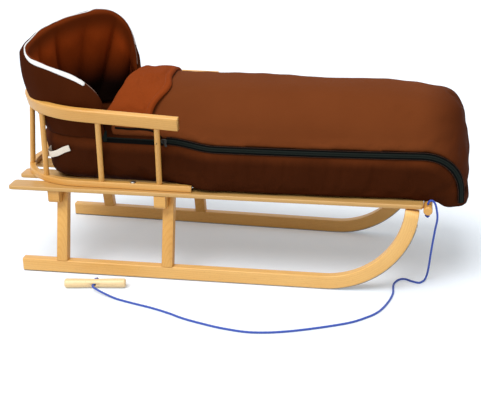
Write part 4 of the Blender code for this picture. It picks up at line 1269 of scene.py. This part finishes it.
for suffix, side in (("right", -1.0), ("left", 1.0)):
    whole = zip_line(side)
    closed = resample(whole[whole[:, 0] > SLIDER_X], 420)
    zip_band("tape", suffix, side, closed, 0.0022, 0.0, rounded(0.0012, 0.0180, 0.0005), zip_tape)
    zip_band("lips", suffix, side, closed, ZIP_OUT, 0.0, lips_profile(0.0080, 0.0019), zip_lips)
    out, up = zip_directions(closed, side)
    for row, lift in (("upper", ZIP_SEAM_RISE), ("lower", -ZIP_SEAM_RISE)):
        seam = stitches("zip_stitches_%s_%s" % (row, suffix), closed + up * lift + out * ZIP_OUT, out)
        finish_piece(seam, brown_thread, "zip")
    parted = resample(whole[whole[:, 0] < SLIDER_X + 0.004], 90)
    zip_band("half", suffix, side, parted, 0.0024, -0.0045, rounded(0.0014, 0.0115, 0.0006), zip_tape)
    zip_band("coil", suffix, side, parted, 0.0032, 0.0010, rounded(0.0022, 0.0026, 0.0010), zip_lips)
    z = float(seam_z(SLIDER_X))
    top_line = smooth_curve([(-0.250, 0, z + 0.0235), (-0.225, 0, z + 0.0228), (-0.190, 0, z + 0.0222),
                             (-0.172, 0, z + 0.0205), (-0.158, 0, z + 0.0150), (-0.146, 0, z + 0.0060)])
    laid_strip("zip_upper_edge_" + suffix, top_line, 0.0042, side, cover, 0.0016, zip_tape)
    face = side * (plan_y(SLIDER_X) + 0.0040)
    upright = np.array([(1.0, 0, 0), (0, side, 0), (0, 0, 1.0)])
    leaning = np.array([(0.35, 0, -0.94), (0, side, 0), (0.94, 0, 0.35)])
    for kind, place, axes, extent, power, finish in (
            ("slider", (SLIDER_X, face, z), upright, (0.0120, 0.0052, 0.0105), 0.45, zip_metal),
            ("pull", (SLIDER_X + 0.003, face + side * 0.0034, z - 0.0055), leaning,
             (0.0120, 0.0016, 0.0048), 0.3, zip_metal),
            ("stop", (STOP_X, side * (plan_y(STOP_X) + 0.0026), z + 0.004), upright,
             (0.0085, 0.0040, 0.0240), 0.3, zip_lips)):
        solid = pebble("zip_%s_%s" % (kind, suffix), np.array(place), axes, extent, power)
        finish_piece(solid, finish, "zip")


# Straps of webbing on both sides at the rear
STRAP_PATH = ((-0.4080, -0.1130, 0.2820), (-0.4155, -0.1210, 0.2755), (-0.4165, -0.1290, 0.2705),
              (-0.4090, -0.1350, 0.2690), (-0.3920, -0.1390, 0.2745), (-0.3750, -0.1445, 0.2840),
              (-0.3590, -0.1500, 0.2910))
for suffix, side in (("right", 1.0), ("left", -1.0)):
    path = resample(smooth_curve(np.array(STRAP_PATH) * np.array([1.0, side, 1.0])), 60)
    across, up = directions(path, np.array([0, 0, 1.0]))
    strap = carried("side_strap_" + suffix, path, across, up, rounded(0.0016, 0.0135, 0.0007),
                    (length_of(path), 0.0135))
    finish_piece(strap, webbing, "brown_shell")


# Stage
def stage_floor():
    """A wide pale floor; what the camera sees of it is lifted toward white, and it keeps the shadow."""
    corners = np.array([[(-1, -1, 0), (1, -1, 0)], [(-1, 1, 0), (1, 1, 0)]])
    piece = grid_piece("studio_floor", corners * FLOOR_REACH)
    finish = Finish("studio_floor", {"Roughness": 0.9, "Specular IOR Level": 0.0})
    grain = finish.noise(finish.place(), 40.0, 2.0)
    finish.feed("Base Color", finish.blend(grain, (0.735, 0.78, 0.835, 1), (0.755, 0.80, 0.855, 1)))
    lift = finish.output("ShaderNodeLightPath", "Is Camera Ray") * FLOOR_LIFT
    emission = finish.node("ShaderNodeEmission", {}, {"Color": (0.92, 1.0, 1.07, 1), "Strength": lift})
    added = finish.node("ShaderNodeAddShader", {}, {0: Wire(finish, finish.shader.outputs[0]), 1: emission})
    finish.links.new(added.socket, finish.nodes["Material Output"].inputs["Surface"])
    piece.data.materials.append(finish.material)


def lamp(name, kind, energy, gaze, **settings):
    """A lamp that shines along gaze."""
    light = bpy.data.lights.new(name, kind)
    light.energy = energy
    set_all(light, settings)
    holder = linked(name, light)
    tilt = math.acos(-gaze[2] / math.hypot(*gaze))
    holder.rotation_euler = (tilt, 0, math.atan2(gaze[1], gaze[0]) - math.pi / 2)
    return holder


def studio_world():
    """White for the camera, through glass and in reflections, and weaker as a light."""
    world = bpy.data.worlds.new("studio")
    bpy.context.scene.world = world
    world.use_nodes = True
    sky = Tree(world.node_tree)
    camera_ray, through, mirrored = (sky.output("ShaderNodeLightPath", "Is %s Ray" % kind)
                                     for kind in ("Camera", "Transmission", "Glossy"))
    seen = camera_ray.largest(through).largest(mirrored)
    strength = sky.node("ShaderNodeMapRange", {}, {"Value": seen, "To Min": WORLD_LIGHT, "To Max": 1.0})
    background = sky.nodes["Background"]
    background.inputs["Color"].default_value = (1, 1, 1, 1)
    sky.links.new(strength.socket, background.inputs["Strength"])


stage_floor()
studio_world()
lamp("front_left_light", "SUN", SUN_STRENGTH, SUN_GAZE, angle=math.radians(SUN_ANGLE))
lamp("top_lamp", "AREA", LAMP_WATTS, LAMP_GAZE, size=LAMP_SIZE).location = LAMP_PLACE
bpy.context.scene.view_settings.view_transform = "Standard"
